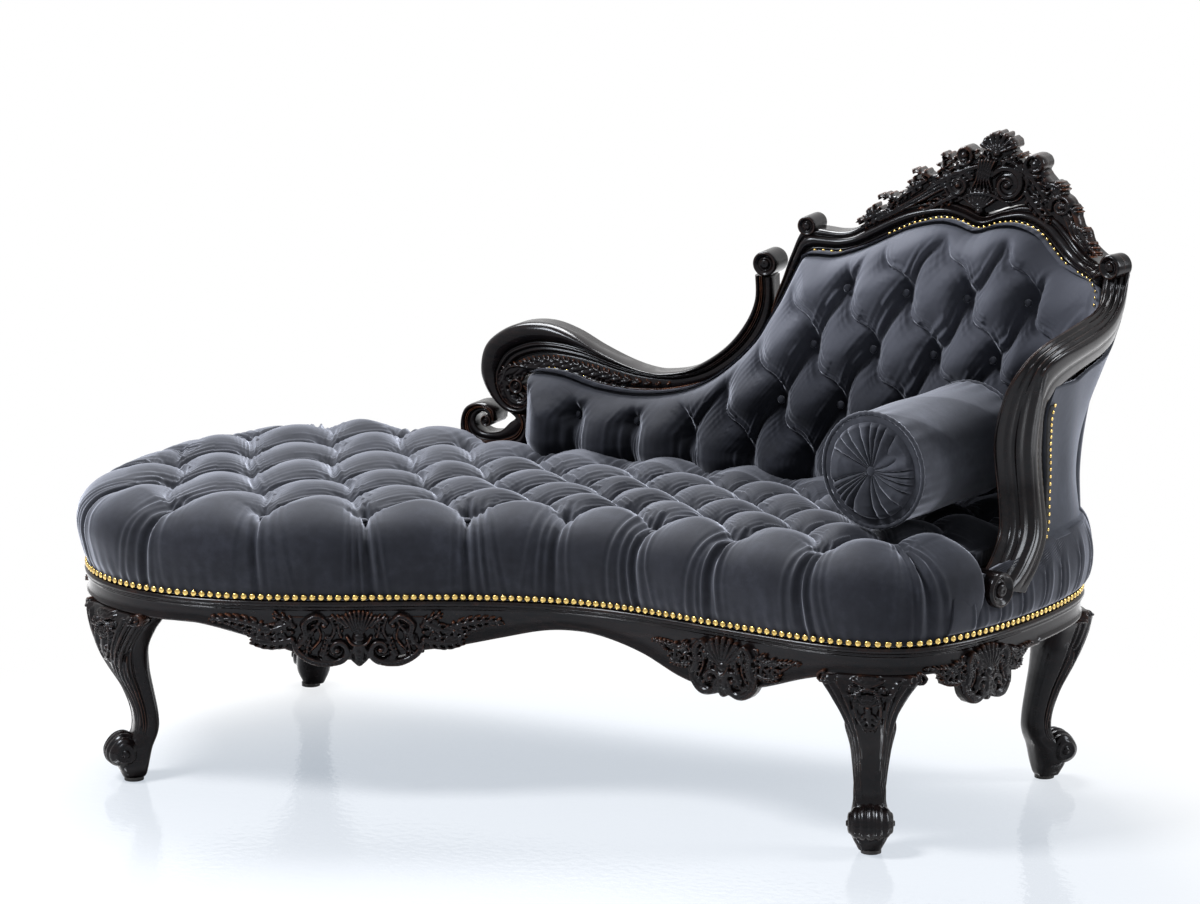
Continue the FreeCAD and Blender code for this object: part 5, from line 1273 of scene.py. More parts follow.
def apron_carvings(wood):
    """Four apron carvings, pierced and hanging from the rail's face."""
    for node, (middle, half, deep, fan) in cartouches.items():
        middle, reach = middle / 1000.0, half / 1000.0
        plan = in_metres(apron_plan(half, deep, fan))

        def ground(u, v):
            low = -0.001 * deep * (0.40 + 0.50 * half_round(u / (reach * 0.99)))
            plate = (v > low) & (v < -0.024) & (np.abs(u) < 0.44 * reach)
            for share, wide, drop, high in ((0.26, 0.008, 0.00056, 0.0085),
                                            (0.36, 0.006, 0.00076, 0.0050)):
                plate &= np.hypot((np.abs(u) - share * reach) / wide,
                                  (v + drop * deep) / high) >= 1.0
            return np.where(plate, 0.0008, -1.0)

        panel = carved(lambda u, v, out: frame_point(middle - u, -out - 0.0005, rail_top + v),
                       (-reach, reach), (-0.112, -0.008), 0.0011, plan, ground, -0.014)
        piece = wooden(node.replace("carving", "leafwork"), [panel], wood)
        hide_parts(node)


def seat_rail(wood):
    """Show wood round the seat: a bead under the nails, a flat band and a rounded lower edge."""
    runs = np.linspace(0.0, whole_run, fine(1300) + 1)[:-1]
    low, top = apron_low(runs), rail_top + 0.0005
    # Inset, share of the way from the lower edge to the top, and height beyond that
    section = ((0.030, 1.0, 0.0), (0.006, 1.0, 0.0), (0.0005, 1.0, 0.0), (-0.0030, 1.0, -0.0012),
               (-0.0046, 1.0, -0.0040), (-0.0046, 1.0, -0.0070), (-0.0026, 1.0, -0.0096),
               (-0.0008, 1.0, -0.0106), (-0.0014, 1.0, -0.0120), (-0.0016, 1.0, -0.0136),
               (0.0006, 1.0, -0.0152), (0.0010, 1.0, -0.0170), (0.0010, 0.7, -0.0060),
               (0.0010, 0.4, 0.0), (0.0010, 0.0, 0.0100), (0.0000, 0.0, 0.0072),
               (-0.0014, 0.0, 0.0052), (-0.0018, 0.0, 0.0030), (-0.0004, 0.0, 0.0008),
               (0.0030, 0.0, 0.0), (0.030, 0.0, 0.0))
    rings = [frame_point(runs, inset, between(low, top, share) + drop)
             for inset, share, drop in section]
    piece = wooden("seat_rail_show_wood", [tube(np.stack(rings, axis=1), wrap=True)], wood)
    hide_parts("front_rail", "back_rail", "head_rail", "foot_rail", "seat_rail_bead")


# Legs: run of the middle of each, and degrees that its toe turns from straight out
leg_places = {
    "leg_front_foot": (2.83078, -22.0), "leg_front_head": (1.54688, 10.0),
    "leg_back_head": (0.96652, 0.0), "leg_back_foot": (3.56280, 0.0),
}
# Share of the height, then shares of the leg's depth and width: offset, depth, width
leg_sections = (
    (0.018, 0.00, 0.52, 0.46), (0.036, 0.00, 0.60, 0.54), (0.090, 0.02, 0.74, 0.74),
    (0.165, -0.06, 0.74, 0.76), (0.240, -0.28, 0.58, 0.64), (0.330, -0.30, 0.55, 0.60),
    (0.450, -0.17, 0.62, 0.66), (0.570, 0.03, 0.80, 0.80), (0.676, 0.16, 0.96, 1.02),
    (0.766, 0.16, 1.06, 1.44), (0.835, 0.10, 1.12, 1.90), (0.872, 0.04, 1.06, 1.96),
)
squareness = 3.2
toe_half = 0.031
toe_radius = 0.028
shank_reed = 0.0026
knee_groove = 0.0034


def knee_layout():
    """Carving of a knee, millimetres from the leg's front line and from the floor: a shell over
    a framed cabochon and a leaf, with long ribs that run down both arrises."""
    plan = Carving()
    plan.shell((0, 274), math.pi / 2, 24, 2.6, 7, 7)
    frame_line = [((18 + 4 * math.cos(TAU * t)) * math.sin(TAU * t),
                   240 + 33 * math.cos(TAU * t)) for t in np.linspace(0, 1, 17)]
    plan.stroke(frame_line, (3, 3), (8.5, 8.5), 0.3)
    plan.shell((0, 244), math.pi / 2, 19, 2.6, 7, 7)
    plan.leaf((0, 240), -math.pi / 2, 36, 0, 22, 7.5, 3)
    for side in (-1, 1):
        plan.curl((side * 24, 270), (0.9, 0.1), (10, 4), (2.6, 2.2), (6, 7), side)
        plan.curl((side * 60, 284), (0.25, -0.8), (11, 4), (3.4, 3), (5, 8), side)
        for n in range(4):
            plan.stroke([(side * (12 + 2.5 * n), 68), (side * (14 + 3 * n), 120),
                         (side * (15 + 4 * n), 175), (side * (20 + 6 * n), 215),
                         (side * (30 + 10 * n), 252), (side * (46 + 13 * n), 282)],
                        (0.9, 1.6, 2, 2.6, 3.6, 3.8), (0.1, 3, 5.6, 6.8, 7.4, 5.4), 0)
        plan.curl((side * 13, 44), (0.30, -0.85), (13, 4), (2.8, 2.2), (4, 5), side)
        plan.stroke([(side * 4, 64), (side * 9, 58), (side * 20, 62)],
                    (2, 2.6, 1.6), (3, 4, 2), 0.3)
    plan.leaf((0, 62), -math.pi / 2, 34, 0, 12, 3.4, 3)
    return plan


def toe_roll(middle, axis, toe):
    """Scrolled toe: a leafy roll across the foot, ribbed round its girth, a button in each end."""
    half, radius = toe_half, toe_radius
    along = np.linspace(-1.0, 1.0, fine(44))
    girth = radius * (np.sqrt(np.clip(1.0 - 0.55 * along ** 2, 0.0, 1.0))
                      + 0.10 * np.abs(np.cos(2.5 * math.pi * along)) - 0.05)
    ends = np.array([(0.0, 0.20), (0.22, 0.24), (0.34, 0.10), (0.50, 0.02), (0.72, 0.14),
                     (0.90, 0.10)])
    turn = full_turn(fine(64))
    round_toe = circle(level(toe), UP, turn)
    table = [(share * girth[0], -half - lift * radius) for share, lift in ends[1:]]
    table += list(zip(girth, along * half))
    table += [(share * girth[-1], half + lift * radius) for share, lift in ends[:0:-1]]
    uneven = (1.0 + 0.05 * np.cos(3.0 * turn + 1.0))[:, None]
    rings = [middle + axis * place + size * uneven * round_toe for size, place in table]
    return tube(np.array(rings))


def volute_leafwork(wood):
    """Acanthus along the low back's moulding, winding in to its big scroll."""
    upper = even(shell_line(swoop_upper_shares, 12), 200)
    lower = even(shell_line(swoop_lower_shares, 12), 200)
    plan = Carving()
    line = between(upper, lower, 0.76)
    for k in range(74, 193, 5):
        band = np.linalg.norm(upper[k] - lower[k])
        way = line[k + 2] - line[k - 2]
        angle = math.atan2(way[1], way[0])
        size = min(band, 0.040) * min(1.0, (k - 60) / 50.0)
        plan.leaf(line[k], angle + 0.50, size * 0.80, -0.7, size * 0.50, 0.0062, 3)
        plan.leaf(line[k], angle - 0.60, size * 0.55, 0.8, size * 0.36, 0.0056, 2)
    plan.stroke([tuple(between(upper, lower, 0.95)[k]) for k in range(64, 196, 6)],
                (0.0014, 0.0028, 0.0028), (0.0035, 0.0066, 0.0066))
    eye = np.array([-0.014 * frame_length, 0.318 * back_rise])
    for k in range(7):
        way = heading(TAU * k / 7.0)
        plan.stroke([eye + way * 0.011, eye + way * 0.019 + way[::-1] * (-0.003, 0.003)],
                    (0.0030, 0.0042), (0.0075, 0.0050), 0.3)
    panel = carved(lambda u, v, out: shell_point(u, v, -0.0215 - out), (-0.110, 0.330),
                   (0.150, 0.345), 0.0013, plan, no_ground, -0.010)
    wooden("volute_leafwork", [panel], wood)


def border_nails(brass):
    """Small nails where the back's velvet meets the show wood, and down the arm's gimp."""
    places, facing = [], []
    for low, high in ((0.008, 0.078), (0.292, 0.308), (0.322, 0.352), (0.404, 0.596),
                      (0.608, 0.648)):
        share = pad_curve[:, 0] / frame_length
        line = pad_curve[(share >= low) & (share <= high) & (pad_curve[:, 1] > 0.2)]
        length = np.linalg.norm(np.diff(line, axis=0), axis=1).sum()
        line = even(line, max(2, int(length / small_nail_pitch)))
        places.append(shell_point(line[:, 0], line[:, 1] + 0.0042, -0.0246))
        facing.append(-station(line[:, 0])[1])
    line = arm_gimp_line(int(0.26 / arm_nail_pitch))
    places.append(shell_point(line[:, 0], line[:, 1], 0.0290))
    facing.append(station(line[:, 0])[1])
    nails("border_nails", np.vstack(places), level(np.vstack(facing)), brass, small_nail_radius)


def arm_gimp_line(count):
    """Line of the gimp on the outside of the arm, beside the arm rail's back edge."""
    line = shell_line(arm_outer_back_shares[6:], 8)
    return even(line[line[:, 1] > 0.17 * back_rise] - (0.009, 0.0), count)


def arm_gimp(cloth):
    """Woven gimp glued over the edge of the outside arm cover."""
    line = arm_gimp_line(fine(150))
    cord = 0.0004 * np.sin(np.arange(len(line)) * 1.9)
    section = ((-0.0075, 0.0225), (-0.0075, 0.0268), (-0.0040, 0.0284), (0.0, 0.0276),
               (0.0040, 0.0284), (0.0075, 0.0268), (0.0075, 0.0225))
    rings = [shell_point(line[:, 0] + across, line[:, 1], out + cord) for across, out in section]
    make_piece("arm_gimp", [tube(np.stack(rings, axis=1))], cloth)


def leg_shaft(middle, outward, toe, layout):
    """Shaft of a leg: squarish sections that turn from the toe's direction to the frame's, with
    reeds down the shank, grooves beside the knee and carving in front."""
    height, offset, depth, width = even(curve_through(leg_sections, 14), fine(240)).T[..., None]
    angle = np.linspace(-math.pi, math.pi, fine(176) + 1)[:-1]
    c, d = np.cos(angle), np.sin(angle)
    square = (np.abs(c) ** squareness + np.abs(d) ** squareness) ** (-1.0 / squareness)
    share = smooth((height - 0.45) / 0.35)
    out = unit(toe * (1.0 - share) + outward * share)
    side = np.stack([-out[:, 1], out[:, 0]], axis=1)
    forward = leg_depth * (offset + depth / 2.0 * (c * square))
    sideways = leg_width * width / 2.0 * (d * square)
    z = np.broadcast_to(height * rail_top, forward.shape)
    front = smooth((c * square - 0.10) / 0.4)
    lift = np.maximum(layout.height(sideways, z), 0.0) * front
    reed = shank_reed * smooth((0.70 - height) / 0.1) * smooth((height - 0.22) / 0.06)
    lift = lift + reed * np.abs(np.cos(2.0 * angle)) ** 0.5 * 0.6
    groove = knee_groove * smooth((0.92 - height) / 0.1) * smooth((height - 0.18) / 0.16)
    for groove_angle in (1.06, 1.24, 1.42):
        lift = lift - groove * bell(np.abs(angle) - groove_angle, 0.05)
    flat = (middle + out[:, None] * (forward + lift * c)[..., None]
            + side[:, None] * (sideways + lift * d)[..., None])
    return tube(np.concatenate([flat, z[..., None]], axis=-1) + shift)


def legs(wood):
    """Four cabriole legs, each a carved shaft on a scrolled toe."""
    layout = in_metres(knee_layout())
    for name, (run, toe_turn) in leg_places.items():
        place, outward = station(np.array(run))
        middle = place - outward * leg_inset
        turn = math.radians(toe_turn)
        toe = np.array([outward[0] * math.cos(turn) - outward[1] * math.sin(turn),
                        outward[0] * math.sin(turn) + outward[1] * math.cos(turn)])
        shaft = leg_shaft(middle, outward, toe, layout)
        scroll = np.array([*(middle + toe * (0.26 * leg_depth)), 0.152 * rail_top]) + shift
        roll = toe_roll(scroll, np.array([-toe[1], toe[0], 0.0]), toe)
        piece = wooden(name.replace("leg_", "cabriole_leg_"), [shaft, roll], wood)
        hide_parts(name)


# Bolster: its size, the rounding of its rims, the gathers and the cord, and the way it lies
bolster_radius = 0.092
bolster_length = 0.295
bolster_round = 0.007
gather_radius = 0.0755
cord_radius = 0.0034
end_reach = 0.030
end_ripple = 0.0012
end_swell = 0.0165
gather_cut = 0.0125
cover_slack = 0.0016
bolster_half = bolster_length / 2.0
bolster_turn = math.radians(10.0)
bolster_axis = np.array([math.sin(bolster_turn), math.cos(bolster_turn), 0.0])
bolster_side = np.array([math.cos(bolster_turn), -math.sin(bolster_turn), 0.0])
button_low, button_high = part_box("bolster_buttons")
bolster_middle = (np.array(button_low) + np.array(button_high)) / 2.0


def round_bolster(along, radius, angle):
    """Point of the bolster: metres along it from its middle, radius and angle."""
    along, radius, angle = np.broadcast_arrays(along, radius, angle)
    return (bolster_middle + bolster_axis * along[..., None]
            + (bolster_side * np.cos(angle)[..., None] + UP * np.sin(angle)[..., None])
            * radius[..., None])


def bolster_cushion(velvet):
    """Round cover of the bolster, a little slack and rippled near its ends."""
    turn = full_turn(fine(220))
    bend = np.linspace(0.0, math.pi / 2.0, 10)
    start = np.stack([-bolster_half + bolster_round * (1.0 - np.cos(bend)),
                      bolster_radius - bolster_round * (1.0 - np.sin(bend))], axis=1)
    flat = np.linspace(-bolster_half + bolster_round, bolster_half - bolster_round,
                       fine(110))[1:-1]
    flat = np.stack([flat, np.full(len(flat), bolster_radius)], axis=1)
    along, radius = np.vstack([start, flat, start[::-1] * (-1.0, 1.0)]).T[..., None]
    near_end = np.exp(-(bolster_half - np.abs(along)) / end_reach)
    ripple = end_ripple * np.sin(26.0 * turn + 3.0 * np.sin(3.0 * turn))
    slack = cover_slack * np.sin(2.0 * turn + 20.0 * along)
    rings = round_bolster(along, radius - 0.0012 + ripple * near_end - np.abs(slack), turn)
    body = make_piece("bolster_velvet", [tube(rings)], velvet, "bolster")
    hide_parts("bolster_cover")


def gathered_end(sign):
    """End of the bolster: a plain rim, then velvet gathered in folds towards the button."""
    turn = full_turn(fine(460))
    phase = 0.35 * np.sin(3.0 * turn + 1.0) + 0.25 * np.sin(5.0 * turn)
    shares = np.linspace(1.0, 0.10, fine(44))[:, None]
    gather = smooth((1.05 - shares) / 0.16) * (0.30 + 0.70 * shares)
    swell = look_up(((0.0, 0.30), (0.15, 0.42), (0.40, 0.78), (0.72, 0.95), (0.93, 0.70),
                     (1.0, 0.10)), shares)
    wave = np.abs(np.sin(10.0 * (turn + 0.5 * phase) + 1.6 * (1.0 - shares) + sign)) ** 0.6
    height = end_swell * swell - gather_cut * gather * (1.0 - wave) + 0.001
    edge = bolster_radius - bolster_round
    rim = np.array([(edge + 0.001, -0.0012), (edge - 0.003, -0.0002),
                    (gather_radius + 0.004, -0.0018), (gather_radius, -0.0045)])
    return tube(np.concatenate([
        round_bolster(sign * (bolster_half + rim[:, 1:]), rim[:, :1], turn),
        round_bolster(sign * (bolster_half + height), gather_radius * shares, turn),
        round_bolster(sign * (bolster_half - 0.001), gather_radius * 0.05, turn[None])]))


def ruched_cord(sign):
    """Cord round one rim of the bolster, its cover drawn up in small ridges."""
    turn = full_turn(fine(300))[:, None]
    section = full_turn(10)
    thick = cord_radius * (1.0 + 0.10 * np.sin(48.0 * turn + np.sin(7.0 * turn)))
    return tube(round_bolster(sign * (bolster_half - 0.0012) + thick * np.sin(section),
                              bolster_radius - 0.0026 + thick * np.cos(section), turn),
                wrap=True)


def bolster(velvet):
    """Bolster: round cushion, and at each end gathered velvet, a cord and a button."""
    bolster_cushion(velvet)
    ends = (-1.0, 1.0)
    disc = make_piece("bolster_gathered_ends", [gathered_end(sign) for sign in ends], velvet,
                      "bolster")
    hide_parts("bolster_ends")
    piping = make_piece("bolster_cording", [ruched_cord(sign) for sign in ends], velvet,
                        "bolster")
    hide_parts("bolster_piping")
    axes = [bolster_axis * sign for sign in ends]
    places = [bolster_middle + axis * (bolster_half + 0.0030) for axis in axes]
    buttons("bolster_end_buttons", places, axes, 0.0085, velvet, "bolster_buttons", "bolster")


def new_material(name):
    """New material: itself, its node tree and its shader."""
    made = bpy.data.materials.new(name)
    made.use_nodes = True
    return made, made.node_tree, made.node_tree.nodes["Principled BSDF"]


def set_inputs(tree, node, values):
    """Gives inputs of a node their values, or links them to an output of another node."""
    for key, value in values.items():
        if isinstance(value, bpy.types.NodeSocket):
            tree.links.new(value, node.inputs[key])
        else:
            node.inputs[key].default_value = value
    return node


def add_node(tree, kind, values=None, **settings):
    """New node with its settings and its inputs."""
    node = tree.nodes.new(kind)
    for key, value in settings.items():
        setattr(node, key, value)
    return set_inputs(tree, node, values or {})


def ramp(tree, source, *stops):
    """Colour ramp over a value; each stop is a place and a colour or a grey."""
    node = add_node(tree, "ShaderNodeValToRGB", {"Fac": source})
    elements = node.color_ramp.elements
    while len(elements) < len(stops):
        elements.new(0.5)
    for element, (place, colour) in zip(elements, stops):
        element.position = place
        element.color = (*np.broadcast_to(colour, 3), 1.0)
    return node.outputs["Color"]


def smooth_range(tree, value, low, high, kind="SMOOTHSTEP"):
    """0 to 1 as a value goes from low to high, eased at both ends."""
    return add_node(tree, "ShaderNodeMapRange",
                    {"Value": value, "From Min": low, "From Max": high},
                    interpolation_type=kind).outputs["Result"]


def noise(tree, place, scale, octaves=4.0, rough=0.55, distortion=0.0):
    """Cloudy pattern in space, from 0 to 1."""
    return add_node(tree, "ShaderNodeTexNoise",
                    {"Vector": place, "Scale": scale, "Detail": octaves, "Roughness": rough,
                     "Distortion": distortion}).outputs["Fac"]


def mix_colour(tree, share, first, second):
    """Colour at a share of the way from the first to the second."""
    return add_node(tree, "ShaderNodeMix", {0: share, 6: first, 7: second},
                    data_type="RGBA").outputs[2]


def reckon(tree, operation, first, second):
    """Result of one step of arithmetic on two values."""
    return add_node(tree, "ShaderNodeMath", {0: first, 1: second},
                    operation=operation).outputs[0]


def weighted(tree, first, share, second, other_share):
    """Sum of two values, each times its share."""
    return reckon(tree, "ADD", reckon(tree, "MULTIPLY", first, share),
                  reckon(tree, "MULTIPLY", second, other_share))


def bumped(tree, shader, height, strength, distance):
    """Roughens the shading of a surface by a pattern of heights."""
    bump = add_node(tree, "ShaderNodeBump",
                    {"Strength": strength, "Distance": distance, "Height": height})
    set_inputs(tree, shader, {"Normal": bump.outputs["Normal"]})


def object_place(tree):
    """Place on the piece, in its own metres."""
    return add_node(tree, "ShaderNodeTexCoord").outputs["Object"]


def apart(tree, place, axis):
    """One coordinate of a place."""
    return add_node(tree, "ShaderNodeSeparateXYZ", {"Vector": place}).outputs[axis]


# Painted light on the velvet at the top of the back, the painted sheen at its rim, and plain white
painted_top_light_tone = (0.064, 0.069, 0.088, 1.0)
painted_sheen_tone = (0.25, 0.265, 0.31)
white = (1.0, 1.0, 1.0, 1.0)


def make_velvet(name, deep, light, high=0.0, sheen=0.75):
    """Cotton velvet: dark where seen straight on, a painted sheen that pales the colour at the
    rim, mottled by the nap, and painted lighter towards the top of the back, where the light
    falls."""
    made, tree, shader = new_material(name)
    place = object_place(tree)
    deep, light = np.array(deep), np.array(light)
    patches = noise(tree, place, 9.0, 3.0, 0.6, 0.4)
    rubbed = noise(tree, place, 60.0, 5.0, 0.65)
    pile = noise(tree, place, 900.0, 2.0, 0.5)
    colour = ramp(tree, weighted(tree, patches, 0.6, rubbed, 0.4), (0.30, deep),
                  (0.52, between(deep, light, 0.35)), (0.72, light))
    # Painted light: when high is above 0, the colour is mixed by height towards a paler tone,
    # standing in for the light on the top of the back
    if high:
        painted_top_light = smooth_range(tree, apart(tree, place, "Z"), 0.56, 0.74)
        colour = mix_colour(tree, reckon(tree, "MULTIPLY", painted_top_light, high), colour, painted_top_light_tone)
    # Painted sheen: the base colour pales towards a light tone at grazing angles, a painted
    # highlight at the rim
    facing = add_node(tree, "ShaderNodeLayerWeight", {"Blend": 0.35}).outputs["Facing"]
    rim = ramp(tree, facing, (0.0, 0.0), (0.50, 0.08), (1.0, 0.62))
    painted_sheen = between(light, np.array(painted_sheen_tone), 0.65)
    set_inputs(tree, shader, {
        "Base Color": mix_colour(tree, rim, colour, (*painted_sheen, 1.0)), "Roughness": 0.78,
        "Specular IOR Level": 0.10, "Sheen Weight": sheen, "Sheen Roughness": 0.32,
        "Sheen Tint": (0.64, 0.68, 0.80, 1.0)})
    bumped(tree, shader, weighted(tree, rubbed, 0.7, pile, 0.3), 0.35, 0.0012)
    return made


def make_show_wood():
    """Ebonised wood under worn polish: near black, rubbed to red-brown on its arrises."""
    made, tree, shader = new_material("ebonised_show_wood")
    place = object_place(tree)
    stretched = add_node(tree, "ShaderNodeMapping", {"Vector": place, "Scale": (7.0, 60.0, 60.0)})
    grain = noise(tree, stretched.outputs["Vector"], 3.0, 6.0, 0.6, 0.3)
    dust = noise(tree, place, 34.0, 6.0, 0.65)
    worn = add_node(tree, "ShaderNodeAttribute", attribute_name="wear").outputs["Fac"]
    share = ramp(tree, weighted(tree, worn, 0.72, dust, 0.55), (0.56, 0.0), (0.84, 0.26),
                 (1.0, 0.85))
    dark = ramp(tree, grain, (0.35, (0.0018, 0.0016, 0.0019)), (0.75, (0.0078, 0.0046, 0.0043)))
    warm = ramp(tree, grain, (0.30, (0.060, 0.021, 0.010)), (0.75, (0.15, 0.056, 0.025)))
    set_inputs(tree, shader, {
        "Base Color": mix_colour(tree, share, dark, warm),
        "Roughness": ramp(tree, dust, (0.30, 0.13), (0.75, 0.28)),
        "Specular IOR Level": 0.12, "Specular Tint": (0.80, 0.88, 1.0, 1.0),
        "Coat Weight": 0.09, "Coat Roughness": 0.16})
    bumped(tree, shader, reckon(tree, "ADD", grain, dust), 0.12, 0.0010)
    return made


def make_plain(name, colour, other, rough, scale, metal=0.0):
    """Plain stuff: two tones mottled by noise."""
    made, tree, shader = new_material(name)
    place = object_place(tree)
    spots = noise(tree, place, scale, 5.0, 0.6)
    set_inputs(tree, shader, {"Base Color": ramp(tree, spots, (0.32, colour), (0.70, other)),
                              "Roughness": rough, "Metallic": metal})
    bumped(tree, shader, spots, 0.1, 0.001)
    return made


velvet = make_velvet("charcoal_velvet", (0.0060, 0.0068, 0.0098), (0.0230, 0.0255, 0.0350))
# Painted shade and light: the back's copy of the velvet is darker than the seat's, with less
# sheen, and painted lighter towards the top of the back
back_shaded_and_lit_cloth = make_velvet("back_velvet", (0.0045, 0.0052, 0.0078), (0.0190, 0.0212, 0.0300), 0.85,
                         0.58)
# Painted light: the bolster's copy of the velvet is lighter than the seat's
bolster_lit_cloth = make_velvet("bolster_velvet", (0.0110, 0.0122, 0.0165), (0.0400, 0.0435, 0.0560))
# Painted light: the outside covers' copy of the velvet is lighter than the seat's, on covers that
# face away from the lamps
outside_lit_cloth = make_velvet("outside_lit_velvet", (0.0120, 0.0140, 0.0195), (0.034, 0.039, 0.051))
wood = make_show_wood()
frame_wood = make_plain("beech_frame_wood", (0.32, 0.20, 0.11), (0.45, 0.30, 0.17), 0.6, 30.0)
brass = make_plain("aged_brass", (0.34, 0.23, 0.07), (0.66, 0.48, 0.17), 0.24, 240.0, 1.0)
steel = make_plain("bolt_steel", (0.35, 0.35, 0.36), (0.50, 0.50, 0.51), 0.35, 60.0, 1.0)
glide = make_plain("blackened_glide", (0.006, 0.006, 0.007), (0.016, 0.015, 0.015), 0.5, 60.0)
lining = make_plain("black_lining", (0.010, 0.010, 0.011), (0.022, 0.022, 0.024), 0.9, 300.0)
webbing = make_plain("jute_webbing", (0.28, 0.20, 0.11), (0.42, 0.32, 0.19), 0.9, 260.0)
filling = make_plain("seat_stuffing", (0.60, 0.56, 0.46), (0.70, 0.66, 0.56), 0.95, 120.0)

seat_velvet(velvet)
back_velvet(back_shaded_and_lit_cloth)
show_wood(wood)
arm_moulding(wood)
crest_carving(wood)
apron_carvings(wood)
seat_rail(wood)
legs(wood)
knee_wings(wood)
volute_leafwork(wood)
seat_nails(brass)
border_nails(brass)
arm_gimp(lining)
bolster(bolster_lit_cloth)

middles = island_middles("seat_buttons")
buttons("seat_velvet_buttons", middles - 0.008 * UP, np.tile(UP, (len(middles), 1)), 0.0078,
        velvet, "seat_buttons")
middles = island_middles("back_buttons")
along = middles - shift
nearest = np.argmin(np.linalg.norm(shell_places[None] - along[:, None, :2], axis=2), axis=1)
facing = -level(outline_outward[nearest])
deeper = 0.025 + 0.018 * (shell_runs[nearest] < 0.27 * frame_length)
buttons("back_velvet_buttons", middles - facing * deeper[:, None], facing, 0.0066, velvet,
        "back_buttons")


pad_tops = pad_curve[pad_curve[:, 0] <= 0.60 * frame_length]
crest_tops = shell_line(crest_lower_shares[5:], 8)
back_tops = np.vstack([pad_tops, crest_tops[crest_tops[:, 0] > pad_tops[-1, 0]]])
arm_tops = shell_line(arm_outer_back_shares[:5], 8)
arm_edge = curve_through(arm_outer_back_shares[6:], 8)[::-1]


def back_cover_top(run):
    """Upper edge of the outside back cover, just under the show wood."""
    return look_up(back_tops, run) - 0.003


def arm_cover_top(run):
    """Upper edge of the outside arm cover, just under the arm rail."""
    return look_up(arm_tops, run) - 0.003


def arm_cover_front(rise):
    """Front edge of the outside arm cover, which runs on under the arm's scroll."""
    edge = np.interp(rise / back_rise, arm_edge[:, 1], arm_edge[:, 0]) * frame_length
    return between(np.maximum(edge, 0.912 * frame_length), edge,
                   smooth((rise - 0.070) / 0.060)) - 0.001


outside_cover("outside_back_velvet", pad_line[0, 0] + 0.001, back_end, back_cover_top,
              outside_lit_cloth, "outside_back_cover", gap=0.060)
outside_cover("outside_arm_velvet", back_end + 0.001, arm_cover_front, arm_cover_top,
              outside_lit_cloth, "outside_arm_cover", foot=0.114, gap=0.042, counts=(120, 60))
outside_cover("arm_foot_velvet", back_end + 0.001, arm_cover_front, 0.120, velvet,
              counts=(180, 40))
outside_cover("foot_end_velvet", -0.086 * frame_length, 0.010 * frame_length, 0.118, velvet,
              inner=-0.036, counts=(70, 40))


cad_materials = {
    frame_wood: ("corner_blocks", "cross_rails", "back_post_foot", "back_post_middle",
                 "back_post_corner", "arm_post", "back_low_rails"),
    steel: ("corner_bolts",),
    glide: ("leg_glides",),
    webbing: ("webbing_long", "webbing_cross", "hessian_deck"),
    lining: ("dust_cover",),
    filling: ("seat_filling",),
}
for made, names in cad_materials.items():
    for name in names:
        nodes[name].data.materials.clear()
        nodes[name].data.materials.append(made)


def look_at(piece, place, target):
    """Places a camera or lamp so that it looks at a point."""
    away = Vector(target) - Vector(place)
    piece.location = place
    piece.rotation_euler = away.to_track_quat("-Z", "Y").to_euler()


def softbox(name, place, target, width, height, power):
    """Soft lamp with a square-cornered face, sizes in metres and power in watts."""
    light = bpy.data.lights.new(name, "AREA")
    light.shape = "RECTANGLE"
    light.size, light.size_y = width, height
    light.energy = power
    lamp = bpy.data.objects.new(name, light)
    bpy.context.scene.collection.objects.link(lamp)
    look_at(lamp, place, target)


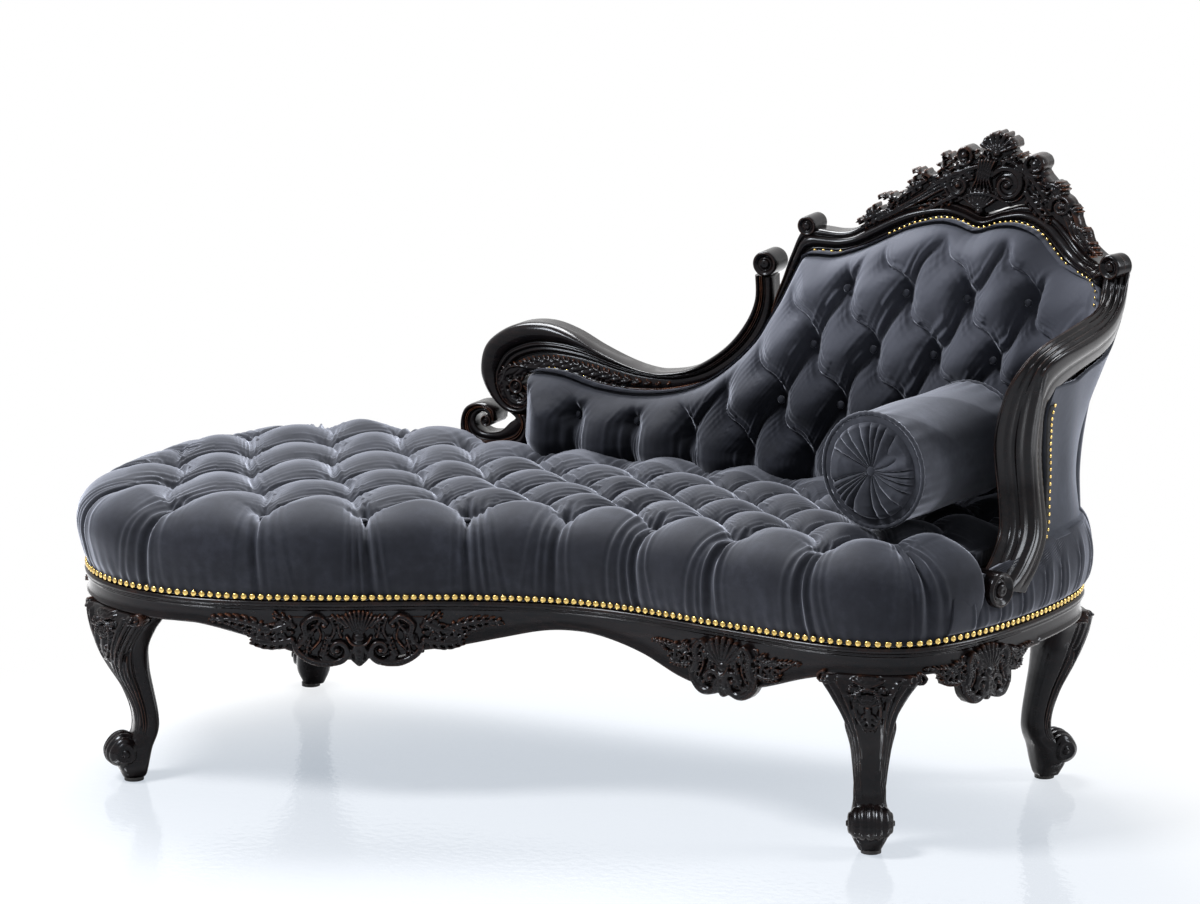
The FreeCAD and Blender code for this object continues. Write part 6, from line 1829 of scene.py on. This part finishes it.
def make_floor():
    """Polished white floor. To camera rays it partly glows in a painted blue-grey shade near the
    chaise longue, darker towards the front, and turns into plain white light away from it.
    """
    made, tree, shader = new_material("white_floor")
    place = object_place(tree)
    set_inputs(tree, shader, {"Base Color": (0.86, 0.86, 0.87, 1.0), "Roughness": 0.09,
                              "IOR": 2.0, "Specular IOR Level": 0.9})
    bumped(tree, shader, noise(tree, place, 70.0, 2.0, 0.5), 0.25, 0.002)
    drawn_in = add_node(tree, "ShaderNodeVectorMath", {0: place, 1: (0.85, 0.60, 1.0)},
                        operation="MULTIPLY").outputs["Vector"]
    away = add_node(tree, "ShaderNodeVectorMath", {0: drawn_in, 1: (0.15, -0.70, 0.0)},
                    operation="DISTANCE").outputs["Value"]
    far = smooth_range(tree, away, 0.70, 1.42, "SMOOTHERSTEP")
    path = add_node(tree, "ShaderNodeLightPath")
    straight = reckon(tree, "MAXIMUM", path.outputs["Is Camera Ray"],
                      path.outputs["Is Transmission Ray"])
    lit = reckon(tree, "ADD", reckon(tree, "MULTIPLY", far, 0.34), 0.66)
    # Painted shade: near the chaise longue the glow seen by camera rays is blue-grey and darker
    # towards the front, standing in for the floor's shade
    front = smooth_range(tree, apart(tree, place, "Y"), -0.9, -2.3)
    near = mix_colour(tree, front, (0.70, 0.77, 0.86, 1.0), (0.60, 0.63, 0.67, 1.0))
    painted_shade_to_white = mix_colour(tree, ramp(tree, far, (0.0, 0.0), (0.8, 1.0)), near, white)
    glow = add_node(tree, "ShaderNodeEmission", {"Color": painted_shade_to_white, "Strength": 1.0})
    blend = add_node(tree, "ShaderNodeMixShader",
                     {0: reckon(tree, "MULTIPLY", lit, straight), 1: shader.outputs["BSDF"],
                      2: glow.outputs["Emission"]})
    set_inputs(tree, tree.nodes["Material Output"], {"Surface": blend.outputs["Shader"]})
    return made


def make_world():
    """White room, which lights the chaise longue at a quarter of how bright it looks."""
    world = bpy.data.worlds.new("studio")
    world.use_nodes = True
    tree = world.node_tree
    tree.nodes.clear()
    path = add_node(tree, "ShaderNodeLightPath")
    seen = path.outputs["Is Camera Ray"]
    for kind in ("Is Glossy Ray", "Is Transmission Ray"):
        seen = reckon(tree, "MAXIMUM", seen, path.outputs[kind])
    strength = reckon(tree, "ADD", 0.24, reckon(tree, "MULTIPLY", seen, 0.76))
    glow = add_node(tree, "ShaderNodeBackground", {"Color": white, "Strength": strength})
    add_node(tree, "ShaderNodeOutputWorld", {"Surface": glow.outputs["Background"]})
    return world


def studio():
    """White sweep under soft light, and the camera at the photograph's angle."""
    scene = bpy.context.scene
    lens = bpy.data.cameras.new("camera")
    lens.lens, lens.sensor_width = 135.0, 36.0
    camera = bpy.data.objects.new("camera", lens)
    scene.collection.objects.link(camera)
    look_at(camera, (3.0728, -6.3632, 2.102), (-0.0637, 0.1934, 0.4905))
    scene.camera = camera
    mesh = bpy.data.meshes.new("studio_floor")
    corners = [(30.0 * x, 30.0 * y, 0.0) for x, y in ((-1, -1), (1, -1), (1, 1), (-1, 1))]
    mesh.from_pydata(corners, [], [(0, 1, 2, 3)])
    floor = bpy.data.objects.new("studio_floor", mesh)
    scene.collection.objects.link(floor)
    mesh.materials.append(make_floor())
    scene.world = make_world()
    softbox("softbox_left", (-1.9, -2.3, 4.1), (0.5, 0.2, 0.8), 1.3, 1.3, 340.0)
    softbox("softbox_right", (3.2, 1.2, 2.0), (0.3, 0.0, 0.45), 0.9, 1.8, 90.0)
    softbox("softbox_top", (-1.3, 1.5, 2.9), (-0.1, 0.0, 0.4), 2.2, 1.2, 230.0)
    scene.view_settings.view_transform = "Standard"


studio()
